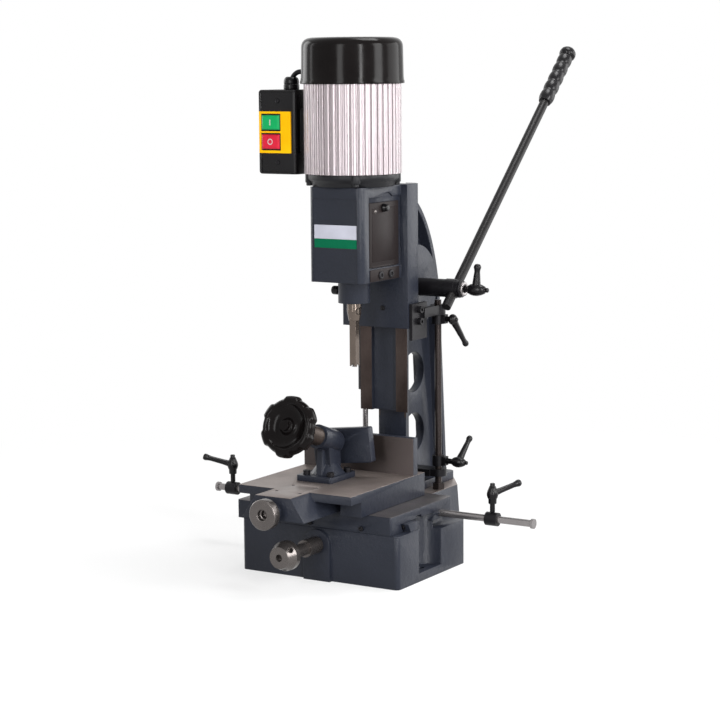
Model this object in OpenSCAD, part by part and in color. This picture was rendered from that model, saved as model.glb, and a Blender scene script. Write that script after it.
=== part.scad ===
// Bench mortiser: a motor head slides on a dovetail column over a cross-slide table.
// Millimetres. Z is up from the bench, the spindle stands on X = 0, Y = 0, and -Y faces the user.

/* [Base casting] */
// Width of the base across the machine
base_w = 257; // [244:1:270]
// Distance from the spindle forward to the front face
base_front = 100; // [96:1:106]
// Distance from the spindle back to the end of the wide part
base_back = 90; // [86:1:96]
// Height of the machined top of the base
base_h = 74; // [72:1:76]
// Wall thickness of the base casting
base_wall = 10; // [8:1:12]
// Radius of the half-round pockets over the bench bolts
pocket_r = 32; // [28:1:35]
// Height of the floor in the bolt pockets
pocket_floor = 12; // [9:1:16]
// Diameter of the bench bolt holes
bench_hole_d = 11; // [9:0.5:13]
// Distance from the base's side to a bench bolt
bench_inset = 16; // [14:1:20]
// Height of the pedestal that carries the column
pedestal_h = 92; // [90:1:96]
// Width of the top of the pedestal
pedestal_w = 132; // [128:1:140]
// Distance from the spindle back to the rear of the pedestal
pedestal_back = 228; // [224:1:236]
// Width of the arched boss round the lower feed shaft
arch_w = 43; // [40:1:48]
// Height of the way that guides the saddle across the machine
x_way_h = 12; // [11:1:13]
// Width of that way where it meets the base
x_way_w = 76; // [72:1:80]

/* [Column] */
// Width of the column's two flanges
flange_w = 46; // [42:1:48]
// Thickness of the flanges
flange_t = 8; // [7:1:9]
// Thickness of the web between the flanges
web_t = 13; // [11:1:15]
// Radius of the round windows in the web
window_r = 30; // [26:1:31]
// Width of the dovetail across its front lands
way_w = 79; // [76:1:82]
// Depth of the dovetail from its lands to the front flange
way_d = 24; // [22:1:25]
// Width of the relief between the two lands
relief_w = 40; // [38:1:44]
// Depth of the relief between the lands
relief_d = 8; // [7.6:0.2:9]
// Height above the bench where the dovetail ends
way_low = 212; // [206:1:214]
// Thickness of the column's foot
foot_t = 12; // [10:1:14]

/* [Head] */
// Width of the head casting
head_w = 87; // [84:1:90]
// Distance from the spindle to the front face of the head
head_front = 50; // [48:1:54]
// Radius on the upright front corners of the head
head_corner = 10; // [6:1:12]
// Width of the slide that runs on the column
slide_w = 108; // [106:1:112]
// Thickness of the slide in front of the dovetail
slide_front_t = 23; // [21:1:24]
// Height of the slide from its lower to its upper end
slide_h = 205; // [200:1:208]
// Height of the motor seat above the bench
seat_z = 542; // [540:1:548]
// Height of the head's box from its underside to the motor seat
box_h = 132; // [128:1:134]
// Outer diameter of the chisel nose
nose_d = 45; // [42:1:48]
// Length of the chisel nose under the head
nose_len = 32; // [28:1:34]
// Stroke of the head
stroke = 125; // [100:1:125]

/* [Motor] */
// Diameter over the cooling fins
motor_d = 136; // [132:1:137]
// Height of the finned motor body
motor_h = 124; // [118:1:130]
// Number of cooling fins round the body
fin_count = 44; // [36:1:48]
// Height of one fin above the body wall
fin_h = 4.5; // [3:0.5:5]
// Diameter of the cap over the motor
cap_d = 145; // [143:1:147]
// Height of the motor cap
cap_h = 64; // [60:1:68]
// Height of the motor's lower end flange
end_flange_h = 17.5; // [16:0.5:20]

/* [Spindle] */
// Width across the flats of the square chisel
chisel_w = 10; // [9:0.5:11]
// Length of chisel below its bush
chisel_len = 65; // [55:1:66]
// Diameter of the auger inside the chisel
auger_d = 7; // [6:0.2:7.4]
// Outer diameter of the chisel bush
bush_d = 20.6; // [19:0.2:22]
// Diameter of the chisel's shank
shank_d = 16; // [15:0.5:17]
// Diameter of the motor shaft
shaft_d = 16; // [14:0.5:18]

/* [Feed drive] */
// Module of the gear that lifts and lowers the head
gear_m = 2.5; // [2.5:0.5:2.5]
// Number of teeth on that gear
gear_z = 40; // [40:1:40]
// Width of the gear and its rack
gear_w = 15; // [12:1:16]
// Height of the gear shaft above the lower end of the raised slide
shaft_z = 52; // [49:1:55]
// Outer radius of the round housing on the column
housing_r = 61; // [59:1:62]
// Diameter of the gear shaft
gear_shaft_d = 18; // [16:1:19]
// Outer diameter of the lever hub
hub_d = 26; // [25:1:28]
// Length of the lever hub outside the column
hub_len = 73; // [70:1:76]
// Length of the feed lever from the shaft to the end of its grip
lever_len = 500; // [440:5:505]
// Diameter of the feed lever
lever_d = 14; // [12:0.5:15]
// Lean of the resting lever behind the vertical, in degrees
lever_lean = 47.6; // [40:0.1:55]
// Diameter of the beads on the lever's grip
bead_d = 23; // [20:0.5:26]

/* [Cross-slide table] */
// Height of the table's machined top above the bench
table_z = 133.5; // [132.5:0.5:135]
// Thickness of the table plate
plate_t = 12; // [11:0.5:12.5]
// Width of the table
table_w = 183; // [178:1:190]
// Distance from the spindle forward to the table's front edge
table_front = 146; // [140:1:150]
// Distance from the spindle forward to the face of the apron
apron_front = 194; // [190:1:200]
// Width of the apron at the table top
apron_w = 56.4; // [54:0.2:60]
// Width that the apron gains on each side at its lower edge
apron_flare = 21.8; // [19:0.2:24]
// Distance from the spindle back to the face of the fence
fence_y = 21.5; // [20:0.5:26]
// Height of the fence above the table
fence_h = 53.5; // [48:0.5:60]
// Thickness of the fence
fence_t = 12; // [10:0.5:14]
// Offset of the table and saddle from the spindle, as they stand
table_x = -9; // [-12:1:-6]
// Length of the saddle across the machine
saddle_w = 253; // [248:1:260]
// Height of the saddle block
saddle_h = 26; // [25:0.5:27]
// Height of the way on top of the saddle
y_way_h = 12; // [11:0.5:12.5]
// Width of that way where it meets the saddle
y_way_w = 52; // [48:1:54]
// Distance between the tapped holes across the table
tap_dx = 38; // [34:1:42]
// Distance between the tapped holes along the table
tap_dy = 41.5; // [38:0.5:44]
// Diameter of the tapped holes
tap_d = 5; // [4.5:0.5:6]

/* [Work clamp] */
// Downward slope of the clamp screw, in degrees
clamp_tilt = 18.7; // [16:0.1:20]
// Height of the handwheel's centre above the bench
wheel_z = 221.6; // [220:0.2:224]
// Distance from the spindle forward to the handwheel's centre
wheel_y = 148; // [146:1:150]
// Diameter over the handwheel's lobes
wheel_d = 86; // [80:1:90]
// Number of lobes round the handwheel
lobe_count = 12; // [10:1:14]
// Diameter of the clamp screw
clamp_screw_d = 14; // [12:0.5:16]
// Outer diameter of the barrel that holds the screw
barrel_d = 34; // [30:1:36]
// Width of the jaw plate
jaw_w = 94; // [80:1:96]
// Height of the jaw plate
jaw_h = 50; // [46:1:51]
// Thickness of the jaw plate
jaw_t = 12; // [10:0.5:13]
// Roll of the resting jaw about the screw, in degrees
jaw_roll = 6.5; // [0:0.5:7]

/* [Rods and stops] */
// Diameter of the depth rod
depth_rod_d = 10; // [8:0.5:11]
// Distance from the top of the depth rod up to the axis of the gear shaft
depth_rod_top = 18; // [17:1:23]
// Diameter of the stop collars on the depth rod
collar_d = 18; // [16:0.5:20]
// Height of a stop collar
collar_h = 15; // [12:0.5:16]
// Diameter of the long rod through the saddle
stop_rod_d = 10; // [9:0.5:11]
// Length of that rod
stop_rod_len = 532; // [526:1:544]
// Diameter of the stop collars on the long rod
stop_collar_d = 19; // [18:0.5:20]
// Length of one of those collars
stop_collar_len = 18; // [16:0.5:20]
// Diameter of the gas strut's cylinder
strut_d = 20; // [18:0.5:20]
// Diameter of the gas strut's rod
strut_rod_d = 8; // [6:0.5:9]

/* [Switch] */
// Width of the switch box
switch_w = 62; // [60:1:64]
// Height of the switch box
switch_h = 118; // [112:1:122]
// Depth of the switch box
switch_d = 50; // [46:1:54]
// Width of one push button
button_w = 30; // [28:0.5:31]
// Height of one push button
button_h = 20.5; // [19:0.5:21]
// Travel of a push button
button_travel = 3; // [2:0.5:3.5]
// Diameter of the motor cable
cable_d = 7; // [6:0.5:8]

/* [Hidden] */
$fn = 48;

CAST = "#3d4453";
BLACK = "#1c1c1e";
STEEL = "#b9bcc0";
MACHINED = "#83786f";

// Running clearance between sliding faces of different bodies
slip = 0.3;
// Radial clearance of a shaft that turns in its bore
run = 0.05;
pressure = 20;

// Places that follow from the sizes above
way_y = 80;
flange_y = way_y + way_d;
way_neck = flange_w;
way_slope = (way_w - way_neck) / 2 / way_d;
way_gap = slip * sqrt(1 + pow(way_slope, 2));
flat_gap = slip * 1.2;
gear_r = gear_m * gear_z / 2;
rack_pitch_y = way_y + 5;
gear_y = rack_pitch_y + gear_r;
column_low = pedestal_h;
column_top = seat_z - 12;
slide_back = way_y + 7;
slide_lip = way_y + 16;
slide_front = way_y - slide_front_t;
slide_low = seat_z - slide_h;
box_low = seat_z - box_h;
gear_z0 = slide_low + shaft_z;
web_back = 208;
housing_t = flange_w;
gear_cavity_r = gear_r + gear_m + 2;
gear_cavity_w = gear_w + 2;
lever_x = flange_w / 2 + slip + hub_len - lever_d / 2 - 2;
hub_end = flange_w / 2 + slip + hub_len;
rod_x = 57;
rod_y = 139;
x_way_y = -24;
x_pinion_m = 2;
x_pinion_z = 24;
x_pinion_r = x_pinion_m * x_pinion_z / 2;
x_shaft_z = 51;
x_rack_pitch_z = x_shaft_z + x_pinion_r;
x_rack_w = 14;
saddle_low = base_h + slip;
saddle_top = saddle_low + saddle_h - slip;
saddle_front = base_front;
saddle_back = 69;
y_way_x = table_x - 3;
feed_z = saddle_top + y_way_h + 0.7;
table_back = 53.5;
rail_w = 33.5;
rail_front = 119.7;
stop_rod_y = 36;
stop_rod_z = saddle_low + 7.5;
gib_t = 5;
clamp_x = -15;
jaw_y = 15;
barrel_front_s = 75;
bush_front_s = 48;
barrel_back_s = 122;
jaw_s = (wheel_y - jaw_y - jaw_t / 2) / cos(clamp_tilt);
ledge_z = 63.5;
stop_face = 104;
strut_x = -48;
strut_y = 107;
strut_low = slide_low - 100;
strut_len = 160;
motor_low = seat_z + end_flange_h;
flange_r = motor_d / 2 - 4;
cap_low = motor_low + motor_h;
switch_x = -109;
switch_z = motor_low + 56.5;
switch_front = 24;
button_x = switch_x - 9.5;
gland_z = switch_z + switch_h / 2;
arm_z = slide_low + 20;

// Shared shapes
module rrect(w, d, r) {
  square([w - 2 * r, d], center = true);
  square([w, d - 2 * r], center = true);
  for (sx = [-1, 1], sy = [-1, 1]) translate([sx * (w / 2 - r), sy * (d / 2 - r)]) circle(r);
}
module slab(w, d, h, r) linear_extrude(h) rrect(w, d, r);
module box(x0, x1, y0, y1, z0, z1) translate([x0, y0, z0]) cube([x1 - x0, y1 - y0, z1 - z0]);
module rod_x_axis(d, x0, x1) translate([x0, 0, 0]) rotate([0, 90, 0]) cylinder(d = d, h = x1 - x0);
module rod_y_axis(d, y0, y1) translate([0, y1, 0]) rotate([90, 0, 0]) cylinder(d = d, h = y1 - y0);
module along_x(x0, x1) translate([x0, 0, 0]) rotate([90, 0, 90]) linear_extrude(x1 - x0) children();
module along_y(y0, y1) translate([0, y1, 0]) rotate([90, 0, 0]) linear_extrude(y1 - y0) children();
module dovetail(root, h, extra = 0) {
  top = root / 2 + h * 0.5774;
  polygon([[-root / 2 - extra, -1], [root / 2 + extra, -1], [root / 2 + extra, 0], [top + extra, h],
    [-top - extra, h], [-root / 2 - extra, 0]]);
}
module cap_screw(d, len) {
  difference() {
    union() {
      cylinder(d = d * 1.65, h = d);
      translate([0, 0, -len]) cylinder(d = d, h = len);
    }
    translate([0, 0, d * 0.45]) cylinder(d = d * 0.95, h = d, $fn = 6);
  }
}

// Involute teeth
function inv_deg(r, rb) = let (t = sqrt(max(0, pow(r / rb, 2) - 1))) t * 180 / PI - atan(t);
function flank_angle(m, z, r, slack) = let (rp = m * z / 2, rb = rp * cos(pressure))
  90 / z + inv_deg(rp, rb) - inv_deg(max(r, rb), rb) - slack / rp * 180 / PI;
function tooth_radii(m, z) = let (rp = m * z / 2)
  [rp - 1.2 * m, rp * cos(pressure) + 0.01, rp - 0.2 * m, rp + 0.4 * m, rp + 0.95 * m];
function polar(r, a) = [r * cos(a), r * sin(a)];
function gear_outline(m, z, slack) = [for (i = [0:z - 1], side = [-1, 1], k = [0:4])
  let (r = tooth_radii(m, z)[side < 0 ? k : 4 - k])
  polar(r, i * 360 / z + side * flank_angle(m, z, r, slack))];
module gear_profile(m, z, slack = 0.17) polygon(gear_outline(m, z, slack));
function rack_outline(m, n, slack, back) = let (p = m * PI, a = tan(pressure))
  concat([[-n * p, -back]], [for (i = [-n:n - 1], s = [0:3])
    let (half = p / 4 - slack, c = (i + 0.5) * p, up = 0.95 * m, dn = 1.15 * m)
    s == 0 ? [c - half - dn * a, -dn] : s == 1 ? [c - half + up * a, up] :
    s == 2 ? [c + half - up * a, up] : [c + half + dn * a, -dn]], [[n * p, -back]]);
module rack_profile(m, n, back, slack = 0.17) polygon(rack_outline(m, n, slack, back));

// Base
module deck_steps() {
  difference() {
    translate([0, (base_back - base_front) / 2, 0]) slab(base_w, base_back + base_front, base_h, 7);
    box(-base_w, base_w, 66, base_back + 1, ledge_z, base_h + 1);
    for (sx = [-1, 1]) translate([sx * (stop_face + 50), 55, ledge_z + 25]) cube([100, 75, 50], center = true);
  }
  hull() {
    pedestal_slice(pedestal_w, pedestal_h - 2);
    pedestal_slice(pedestal_w + 14, 0);
  }
  pedestal_slice(pedestal_w, pedestal_h - 2.1, 2.1);
  box(-arch_w / 2, arch_w / 2, -base_front - 6, -base_front + 10, 0, x_shaft_z);
  translate([0, 0, x_shaft_z]) rod_y_axis(arch_w, -base_front - 6, -base_front + 10);
}
module pedestal_slice(w, z, t = 2) translate([0, 0, z]) linear_extrude(t) polygon([
  [-w / 2, base_back - 14], [w / 2, base_back - 14], [w / 2, pedestal_back - 48],
  [w / 4, pedestal_back], [-w / 4, pedestal_back], [-w / 2, pedestal_back - 48]]);
module base_hollow() difference() {
  union() {
    box(-base_w / 2 + base_wall, base_w / 2 - base_wall, -base_front + base_wall,
      base_back - base_wall, -1, base_h - base_wall - 4);
    box(-pedestal_w / 2 + base_wall, pedestal_w / 2 - base_wall, base_back - 20, pedestal_back - 50, -1,
      pedestal_h - base_wall - 4);
  }
  for (sx = [-1, 1]) translate([sx * base_w / 2, -12, -2]) cylinder(r = pocket_r + base_wall, h = base_h);
  box(-20, 20, 0, 16, -2, base_h);
}
module base_casting() color(CAST) difference() {
  union() {
    difference() {
      deck_steps();
      base_hollow();
    }
    translate([0, x_way_y, base_h]) along_x(-base_w / 2 + 2, base_w / 2 - 2) dovetail(x_way_w, x_way_h);
  }
  for (sx = [-1, 1]) {
    translate([sx * base_w / 2, -12, pocket_floor]) cylinder(r = pocket_r, h = base_h + 20);
    translate([sx * (base_w / 2 - bench_inset), -12, -1]) cylinder(d = bench_hole_d, h = pocket_floor + 2);
  }
  box(-base_w, base_w, x_way_y - x_rack_w / 2 - 1, x_way_y + x_rack_w / 2 + 1,
    x_rack_pitch_z - 2.5, base_h + x_way_h + 1);
  translate([0, 0, x_shaft_z]) {
    rod_y_axis(2 * (x_pinion_r + x_pinion_m + 1), x_way_y - x_rack_w / 2 - 1, x_way_y + x_rack_w / 2 + 1);
    rod_y_axis(16 + 2 * run, -base_front - 20, 30);
  }
  for (p = column_bolt_places()) translate([p[0], p[1], pedestal_h - 24]) cylinder(d = 10, h = 30);
  translate([rod_x, rod_y, pedestal_h - 12]) cylinder(d = depth_rod_d, h = 20);
  translate([strut_x, strut_y, pedestal_h - 12]) cylinder(d = strut_rod_d, h = 20);
}

// Column
function column_bolt_places() = [for (sx = [-1, 1], y = [126, 196]) [sx * 30, y]];
module column_side(inset) {
  // The rear edge leans back towards the foot and curves forward to the head of the column
  bend_z = 330;
  rear = web_back + flange_t - inset;
  difference() {
    union() {
      polygon([[flange_y, column_low + foot_t - 1], [rear + 8, column_low + foot_t - 1],
        [rear - 8, bend_z], [flange_y, bend_z]]);
      intersection() {
        translate([flange_y - 12, bend_z - 10]) resize([2 * (rear + 4 - flange_y), 2 * (column_top - inset - bend_z + 10)])
          circle(100, $fn = 96);
        translate([flange_y, bend_z - 1]) square([200, 300]);
      }
    }
  }
}
module column_casting() color(CAST) difference() {
  union() {
    along_x(-flange_w / 2, flange_w / 2) difference() {
      column_side(0);
      column_side(flange_t);
    }
    along_x(-web_t / 2, web_t / 2) column_side(0.5);
    box(-flange_w / 2, flange_w / 2, flange_y - 0.5, flange_y + flange_t, column_low + foot_t - 1, column_top - 14);
    translate([0, 0, way_low]) linear_extrude(column_top - way_low) polygon([
      [-way_w / 2, way_y], [way_w / 2, way_y], [way_neck / 2, flange_y], [way_neck / 2, flange_y + 1],
      [-way_neck / 2, flange_y + 1], [-way_neck / 2, flange_y]]);
    translate([0, gear_y, gear_z0]) rod_x_axis(2 * housing_r, -housing_t / 2, housing_t / 2);
    translate([0, (flange_y + web_back) / 2 + 4, column_low]) slab(82, 124, foot_t, 12);
  }
  box(-relief_w / 2, relief_w / 2, way_y - 1, way_y + relief_d, way_low - 1, column_top + 1);
  box(-way_w, way_w, 0, way_y, 0, column_top + 1);
  for (z = [168.6, 259.5]) translate([0, 155, z]) rod_x_axis(2 * window_r, -30, 30);
  translate([0, gear_y, gear_z0]) {
    rod_x_axis(2 * gear_cavity_r, -housing_t / 2 - 0.01, gear_cavity_w / 2);
    rod_x_axis(gear_shaft_d + 2 * run, -40, 40);
  }
  for (p = column_bolt_places()) translate([p[0], p[1], column_low - 1]) cylinder(d = 10.4, h = 40);
}
module column_bolts() color(BLACK) for (p = column_bolt_places())
  translate([p[0], p[1], column_low + foot_t]) {
    cylinder(d = 18, h = 7, $fn = 6);
    translate([0, 0, -foot_t - 18]) cylinder(d = 10, h = foot_t + 19);
  }
module gear_cover() color(CAST) translate([0, gear_y, gear_z0]) difference() {
  union() {
    rod_x_axis(2 * gear_cavity_r, -housing_t / 2, -gear_cavity_w / 2);
    rod_x_axis(gear_shaft_d + 16, -housing_t / 2 - 5, -gear_cavity_w / 2);
  }
  rod_x_axis(gear_shaft_d + 2 * run, -60, 10);
}

// Lift drive
module gear_shaft() color(STEEL) translate([0, gear_y, gear_z0])
  rod_x_axis(gear_shaft_d, -housing_t / 2 - 4, lever_x - lever_d / 2 - 2);
module lift_gear() color(STEEL) translate([0, gear_y, gear_z0]) difference() {
  along_x(-gear_w / 2, gear_w / 2) gear_profile(gear_m, gear_z);
  rod_x_axis(gear_shaft_d, -20, 20);
  for (a = [0:60:300]) rotate([a, 0, 0]) translate([0, 29, 0]) rod_x_axis(15, -20, 20);
}
module lever_hub() color(BLACK) translate([0, gear_y, gear_z0]) difference() {
  union() {
    rod_x_axis(hub_d, flange_w / 2 + slip, hub_end);
    rod_x_axis(hub_d + 2, hub_end - 22, hub_end - 6);
  }
  rod_x_axis(gear_shaft_d, 0, lever_x - lever_d / 2 - 2);
  rod_x_axis(6, hub_end - 1.8, hub_end + 1);
  translate([lever_x, 0, 0]) rotate([-lever_lean, 0, 0]) translate([0, 0, -40]) cylinder(d = lever_d, h = 80);
}
module feed_lever() color(BLACK) translate([lever_x, gear_y, gear_z0]) rotate([-lever_lean, 0, 0])
  translate([0, 0, -36]) cylinder(d = lever_d, h = lever_len + 30);
module lever_grip() color(BLACK) translate([lever_x, gear_y, gear_z0]) rotate([-lever_lean, 0, 0]) {
  grip_low = lever_len - 112;
  difference() {
    union() {
      for (i = [0:4]) translate([0, 0, grip_low + 10 + i * 20]) scale([1, 1, 0.98]) sphere(d = bead_d);
      translate([0, 0, lever_len - 9]) sphere(d = bead_d + 3);
      translate([0, 0, grip_low]) cylinder(d = bead_d - 5, h = 100);
    }
    translate([0, 0, grip_low - 20]) cylinder(d = lever_d, h = lever_len - 6 - grip_low + 20);
  }
}
module lever_knob(hub_d1, hub_h, arm_len, arm_lean) {
  // Adjustable clamping lever: hub along +X, handle rising from it
  difference() {
    rod_x_axis(hub_d1, 0, hub_h);
    rod_x_axis(6, -1, hub_h * 0.6);
  }
  translate([hub_h * 0.62, 0, 0]) rotate([0, arm_lean, 0]) {
    cylinder(d1 = hub_d1 * 0.62, d2 = hub_d1 * 0.5, h = arm_len - hub_d1 * 0.4, $fn = 32);
    translate([0, 0, arm_len - hub_d1 * 0.4]) sphere(d = hub_d1 * 0.72);
  }
}
module hub_clamp_lever() color(BLACK) {
  translate([hub_end + slip, gear_y, gear_z0]) {
    lever_knob(17, 45, 42, -14);
    rod_x_axis(6 - 2 * run, -1.8, 28);
  }
}

// Depth rod and its stop
module depth_rod() color(STEEL) translate([rod_x, rod_y, pedestal_h - 12]) {
  cylinder(d = depth_rod_d, h = gear_z0 - depth_rod_top - pedestal_h + 12);
  translate([0, 0, 12]) cylinder(d = 19, h = 9, $fn = 6);
}
module rod_bracket() color(BLACK) difference() {
  union() {
    box(web_t / 2, 50, rod_y - 15, rod_y + 12, pedestal_h + 20, pedestal_h + 30);
    translate([rod_x, rod_y, pedestal_h + 20]) cylinder(d = 24, h = 10);
    box(web_t / 2, web_t / 2 + 6, rod_y - 15, rod_y + 12, pedestal_h + 14, pedestal_h + 36);
    box(45, rod_x, rod_y - 12, rod_y + 12, pedestal_h + 20, pedestal_h + 30);
  }
  translate([rod_x, rod_y, pedestal_h]) cylinder(d = depth_rod_d, h = 60);
}
module rod_collar(z) translate([rod_x, rod_y, z]) difference() {
  union() {
    cylinder(d = collar_d, h = collar_h);
    box(0, collar_d / 2 + 5, -5, 5, 1, collar_h - 1);
  }
  translate([0, 0, -1]) cylinder(d = depth_rod_d + 2 * run, h = collar_h + 2);
  box(0, collar_d, -0.6, 0.6, -1, collar_h + 1);
}
depth_collar_z = 127;
module depth_stop_collar() color(MACHINED) rod_collar(depth_collar_z);
module depth_stop_lever() color(BLACK) translate([rod_x + collar_d / 2 + 5 + slip, rod_y, depth_collar_z + collar_h / 2])
  rotate([-40, 0, 0]) lever_knob(15, 34, 42, 6);

// Gas strut
module strut_rod() color(STEEL) translate([strut_x, strut_y, 0]) {
  translate([0, 0, pedestal_h - 12]) cylinder(d = strut_rod_d, h = strut_low + 12 - pedestal_h + 12);
  translate([0, 0, strut_low + 9]) cylinder(d = strut_d - 3 - 2 * run, h = 10);
  translate([0, 0, pedestal_h]) cylinder(d = 13, h = 8, $fn = 6);
}
module strut_cylinder() color(BLACK) translate([strut_x, strut_y, strut_low]) difference() {
  union() {
    cylinder(d = strut_d, h = strut_len);
    translate([0, 0, strut_len]) cylinder(d = 12, h = 5);
    translate([0, 0, strut_len + 10]) rod_x_axis(16, -3, 5);
  }
  translate([0, 0, 6]) cylinder(d = strut_d - 3, h = strut_len - 12);
  translate([0, 0, -1]) cylinder(d = strut_rod_d + 2 * run, h = 10);
  translate([0, 0, strut_len + 10]) rod_x_axis(8, -10, 10);
}
module strut_bracket() color(MACHINED) {
  z = strut_low + strut_len + 10;
  box(-slide_w / 2 - 5, -slide_w / 2, slide_back - 24, strut_y + 9, z - 6, z + 14);
  translate([0, strut_y, z]) rod_x_axis(8, -slide_w / 2 - 4, strut_x + 8);
}

// Saddle feed
module saddle_pinion_shaft() color(STEEL) translate([0, 0, x_shaft_z]) {
  rod_y_axis(16, -136, 12);
  rod_y_axis(24, -136, -base_front - 6 - slip);
  rod_y_axis(17.6, -174, -136);
  translate([0, 0, 0]) along_y(x_way_y - x_rack_w / 2, x_way_y + x_rack_w / 2) gear_profile(x_pinion_m, x_pinion_z);
}
module saddle_feed_hub() color(STEEL) translate([0, 0, x_shaft_z]) difference() {
  translate([0, -172.5, 0]) rotate([90, 0, 0]) rotate_extrude() polygon([[0, 0.5], [17, 0.5], [20.5, 4], [20.5, 13],
    [15, 26.5], [0, 26.5]]);
  rod_y_axis(17.6, -174, -170);
  translate([0, -199.5, 0]) rod_y_axis(10, 0, 9);
  for (a = [51:120:291]) rotate([0, a, 0]) translate([0, -179.4, 0]) rotate([35, 0, 0])
    translate([0, 0, 10]) cylinder(d = 8.5, h = 20);
}

// Saddle
module saddle_block() {
  translate([table_x, (saddle_back - saddle_front) / 2, saddle_low])
    slab(saddle_w, saddle_back + saddle_front, saddle_h - slip, 3);
  translate([y_way_x, 0, saddle_top]) along_y(-saddle_front + 2, saddle_back - 2) dovetail(y_way_w, y_way_h);
}
module saddle_casting() color(CAST) difference() {
  saddle_block();
  translate([0, x_way_y, base_h]) along_x(-300, 300) union() {
    dovetail(x_way_w, x_way_h + slip, flat_gap);
    translate([-gib_t, 0]) dovetail(x_way_w, x_way_h + slip, flat_gap);
  }
  box(-300, 300, x_way_y - x_rack_w / 2, x_way_y + x_rack_w / 2, base_h, base_h + x_way_h + 4);
  translate([0, stop_rod_y, stop_rod_z]) rod_x_axis(stop_rod_d, -300, 300);
  box(y_way_x - 11, y_way_x + 11, -300, 300, saddle_top - 4, feed_z + 20);
  for (x = gib_screw_places()) translate([x, 0, base_h + 6]) rod_y_axis(6, -saddle_front - 1, -saddle_front + 40);
}
function gib_screw_places() = [table_x - 87, table_x - 4, table_x + 79];
module saddle_gib() color(STEEL) translate([0, x_way_y, base_h]) along_x(table_x - saddle_w / 2 + 4, table_x + saddle_w / 2 - 4)
  gib_strip(x_way_w / 2 + flat_gap, 0.6, x_way_h - 0.4);
module gib_strip(half, z0, z1) polygon([[-half - gib_t - z0 * 0.5774, z0], [-half - z0 * 0.5774, z0],
  [-half - z1 * 0.5774, z1], [-half - gib_t - z1 * 0.5774, z1]]);
module saddle_rack() color(STEEL) translate([0, x_way_y + x_rack_w / 2, x_rack_pitch_z]) mirror([0, 0, 1])
  intersection() {
    rotate([90, 0, 0]) linear_extrude(x_rack_w) rack_profile(x_pinion_m, 20, base_h + x_way_h + 4 - x_rack_pitch_z);
    translate([table_x - 100, -20, -30]) cube([200, 40, 60]);
  }
module stop_rod() color(STEEL) translate([0, stop_rod_y, stop_rod_z]) {
  rod_x_axis(stop_rod_d, -stop_rod_len / 2, stop_rod_len / 2);
  for (sx = [-1, 1]) translate([sx * (stop_rod_len / 2 - 2), 0, 0]) rod_x_axis(stop_rod_d + 4, -2, 2);
}
module cross_nut() color("#a8844a") difference() {
  box(y_way_x - 11, y_way_x + 11, -76, -50, saddle_top - 4, feed_z + 7.5);
  translate([y_way_x, 0, feed_z]) rod_y_axis(12 + 2 * run, -90, -40);
}
module stop_collar(x) translate([x, stop_rod_y, stop_rod_z]) difference() {
  rod_x_axis(stop_collar_d, -stop_collar_len / 2, stop_collar_len / 2);
  rod_x_axis(stop_rod_d + 2 * run, -20, 20);
}
module stop_lever(x, turn) translate([x, stop_rod_y, stop_rod_z + stop_collar_d / 2 + slip]) {
  rotate_extrude() polygon([[0, 0], [3.6, 0], [3.6, 12], [5.7, 12], [5.9, 19], [7.8, 23], [8, 27], [4.4, 37],
    [3.5, 37.5], [3.5, 41], [0, 41]]);
  rotate([0, 0, turn]) translate([0, 0, 26]) rotate([0, 74, 0]) {
    cylinder(d1 = 9.5, d2 = 7, h = 41);
    translate([0, 0, 41]) sphere(d = 10);
  }
}
left_stop_x = 28 - stop_rod_len / 2;
right_stop_x = stop_rod_len / 2 - 65;
module left_stop_collar() color(BLACK) stop_collar(left_stop_x);
module left_stop_lever() color(BLACK) stop_lever(left_stop_x, 210);
module right_stop_collar() color(BLACK) stop_collar(right_stop_x);
module right_stop_lever() color(BLACK) stop_lever(right_stop_x, 55);

// Table
module table_section() translate([y_way_x, 0]) {
  low = saddle_top + 1.5;
  polygon([[-apron_w / 2, table_z], [apron_w / 2, table_z], [apron_w / 2 + apron_flare, low],
    [-apron_w / 2 - apron_flare, low]]);
}
module table_body() {
  box(table_x - table_w / 2, table_x + table_w / 2, -table_front, table_back, table_z - plate_t, table_z);
  along_y(-apron_front, table_back) table_section();
  for (sx = [-1, 1]) translate([table_x + sx * (table_w - rail_w) / 2, 0, 0])
    box(-rail_w / 2, rail_w / 2, -rail_front, table_back, saddle_top + slip, table_z - plate_t + 1);
  box(table_x - table_w / 2, table_x + table_w / 2, fence_y, fence_y + fence_t, table_z - 1, table_z + fence_h);
  for (sx = [-1, 1]) translate([table_x + sx * 50, 0, 0]) along_x(-5, 5) polygon([
    [fence_y + fence_t - 1, table_z - 1], [table_back, table_z - 1], [table_back, table_z + 4],
    [fence_y + fence_t - 1, table_z + fence_h - 14]]);
  translate([y_way_x, 0, feed_z]) rod_y_axis(26, -apron_front - 9, -apron_front + 2);
}
module table_casting() color(CAST) difference() {
  table_body();
  translate([y_way_x, 0, saddle_top]) along_y(-152, 200) union() {
    dovetail(y_way_w, y_way_h + slip, flat_gap);
    translate([-gib_t, 0]) dovetail(y_way_w, y_way_h + slip, flat_gap);
  }
  box(y_way_x - 12, y_way_x + 12, -152, 200, saddle_top, feed_z + 8);
  translate([y_way_x, 0, feed_z]) rod_y_axis(12 + 2 * run, -apron_front - 20, 0);
  for (sx = [-1, 1], sy = [-1, 1]) translate([tap_x + sx * tap_dx / 2, tap_y + sy * tap_dy / 2, table_z - 11])
    cylinder(d = tap_d, h = 12);
  for (p = stand_screw_places()) translate([p[0], p[1], table_z - 10]) cylinder(d = 6, h = 12);
}
tap_x = y_way_x + 1;
tap_y = -136.5;
module table_gib() color(STEEL) translate([y_way_x, 0, saddle_top]) along_y(-rail_front, table_back - 4)
  gib_strip(y_way_w / 2 + flat_gap, 1.8, y_way_h - 0.4);
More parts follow.
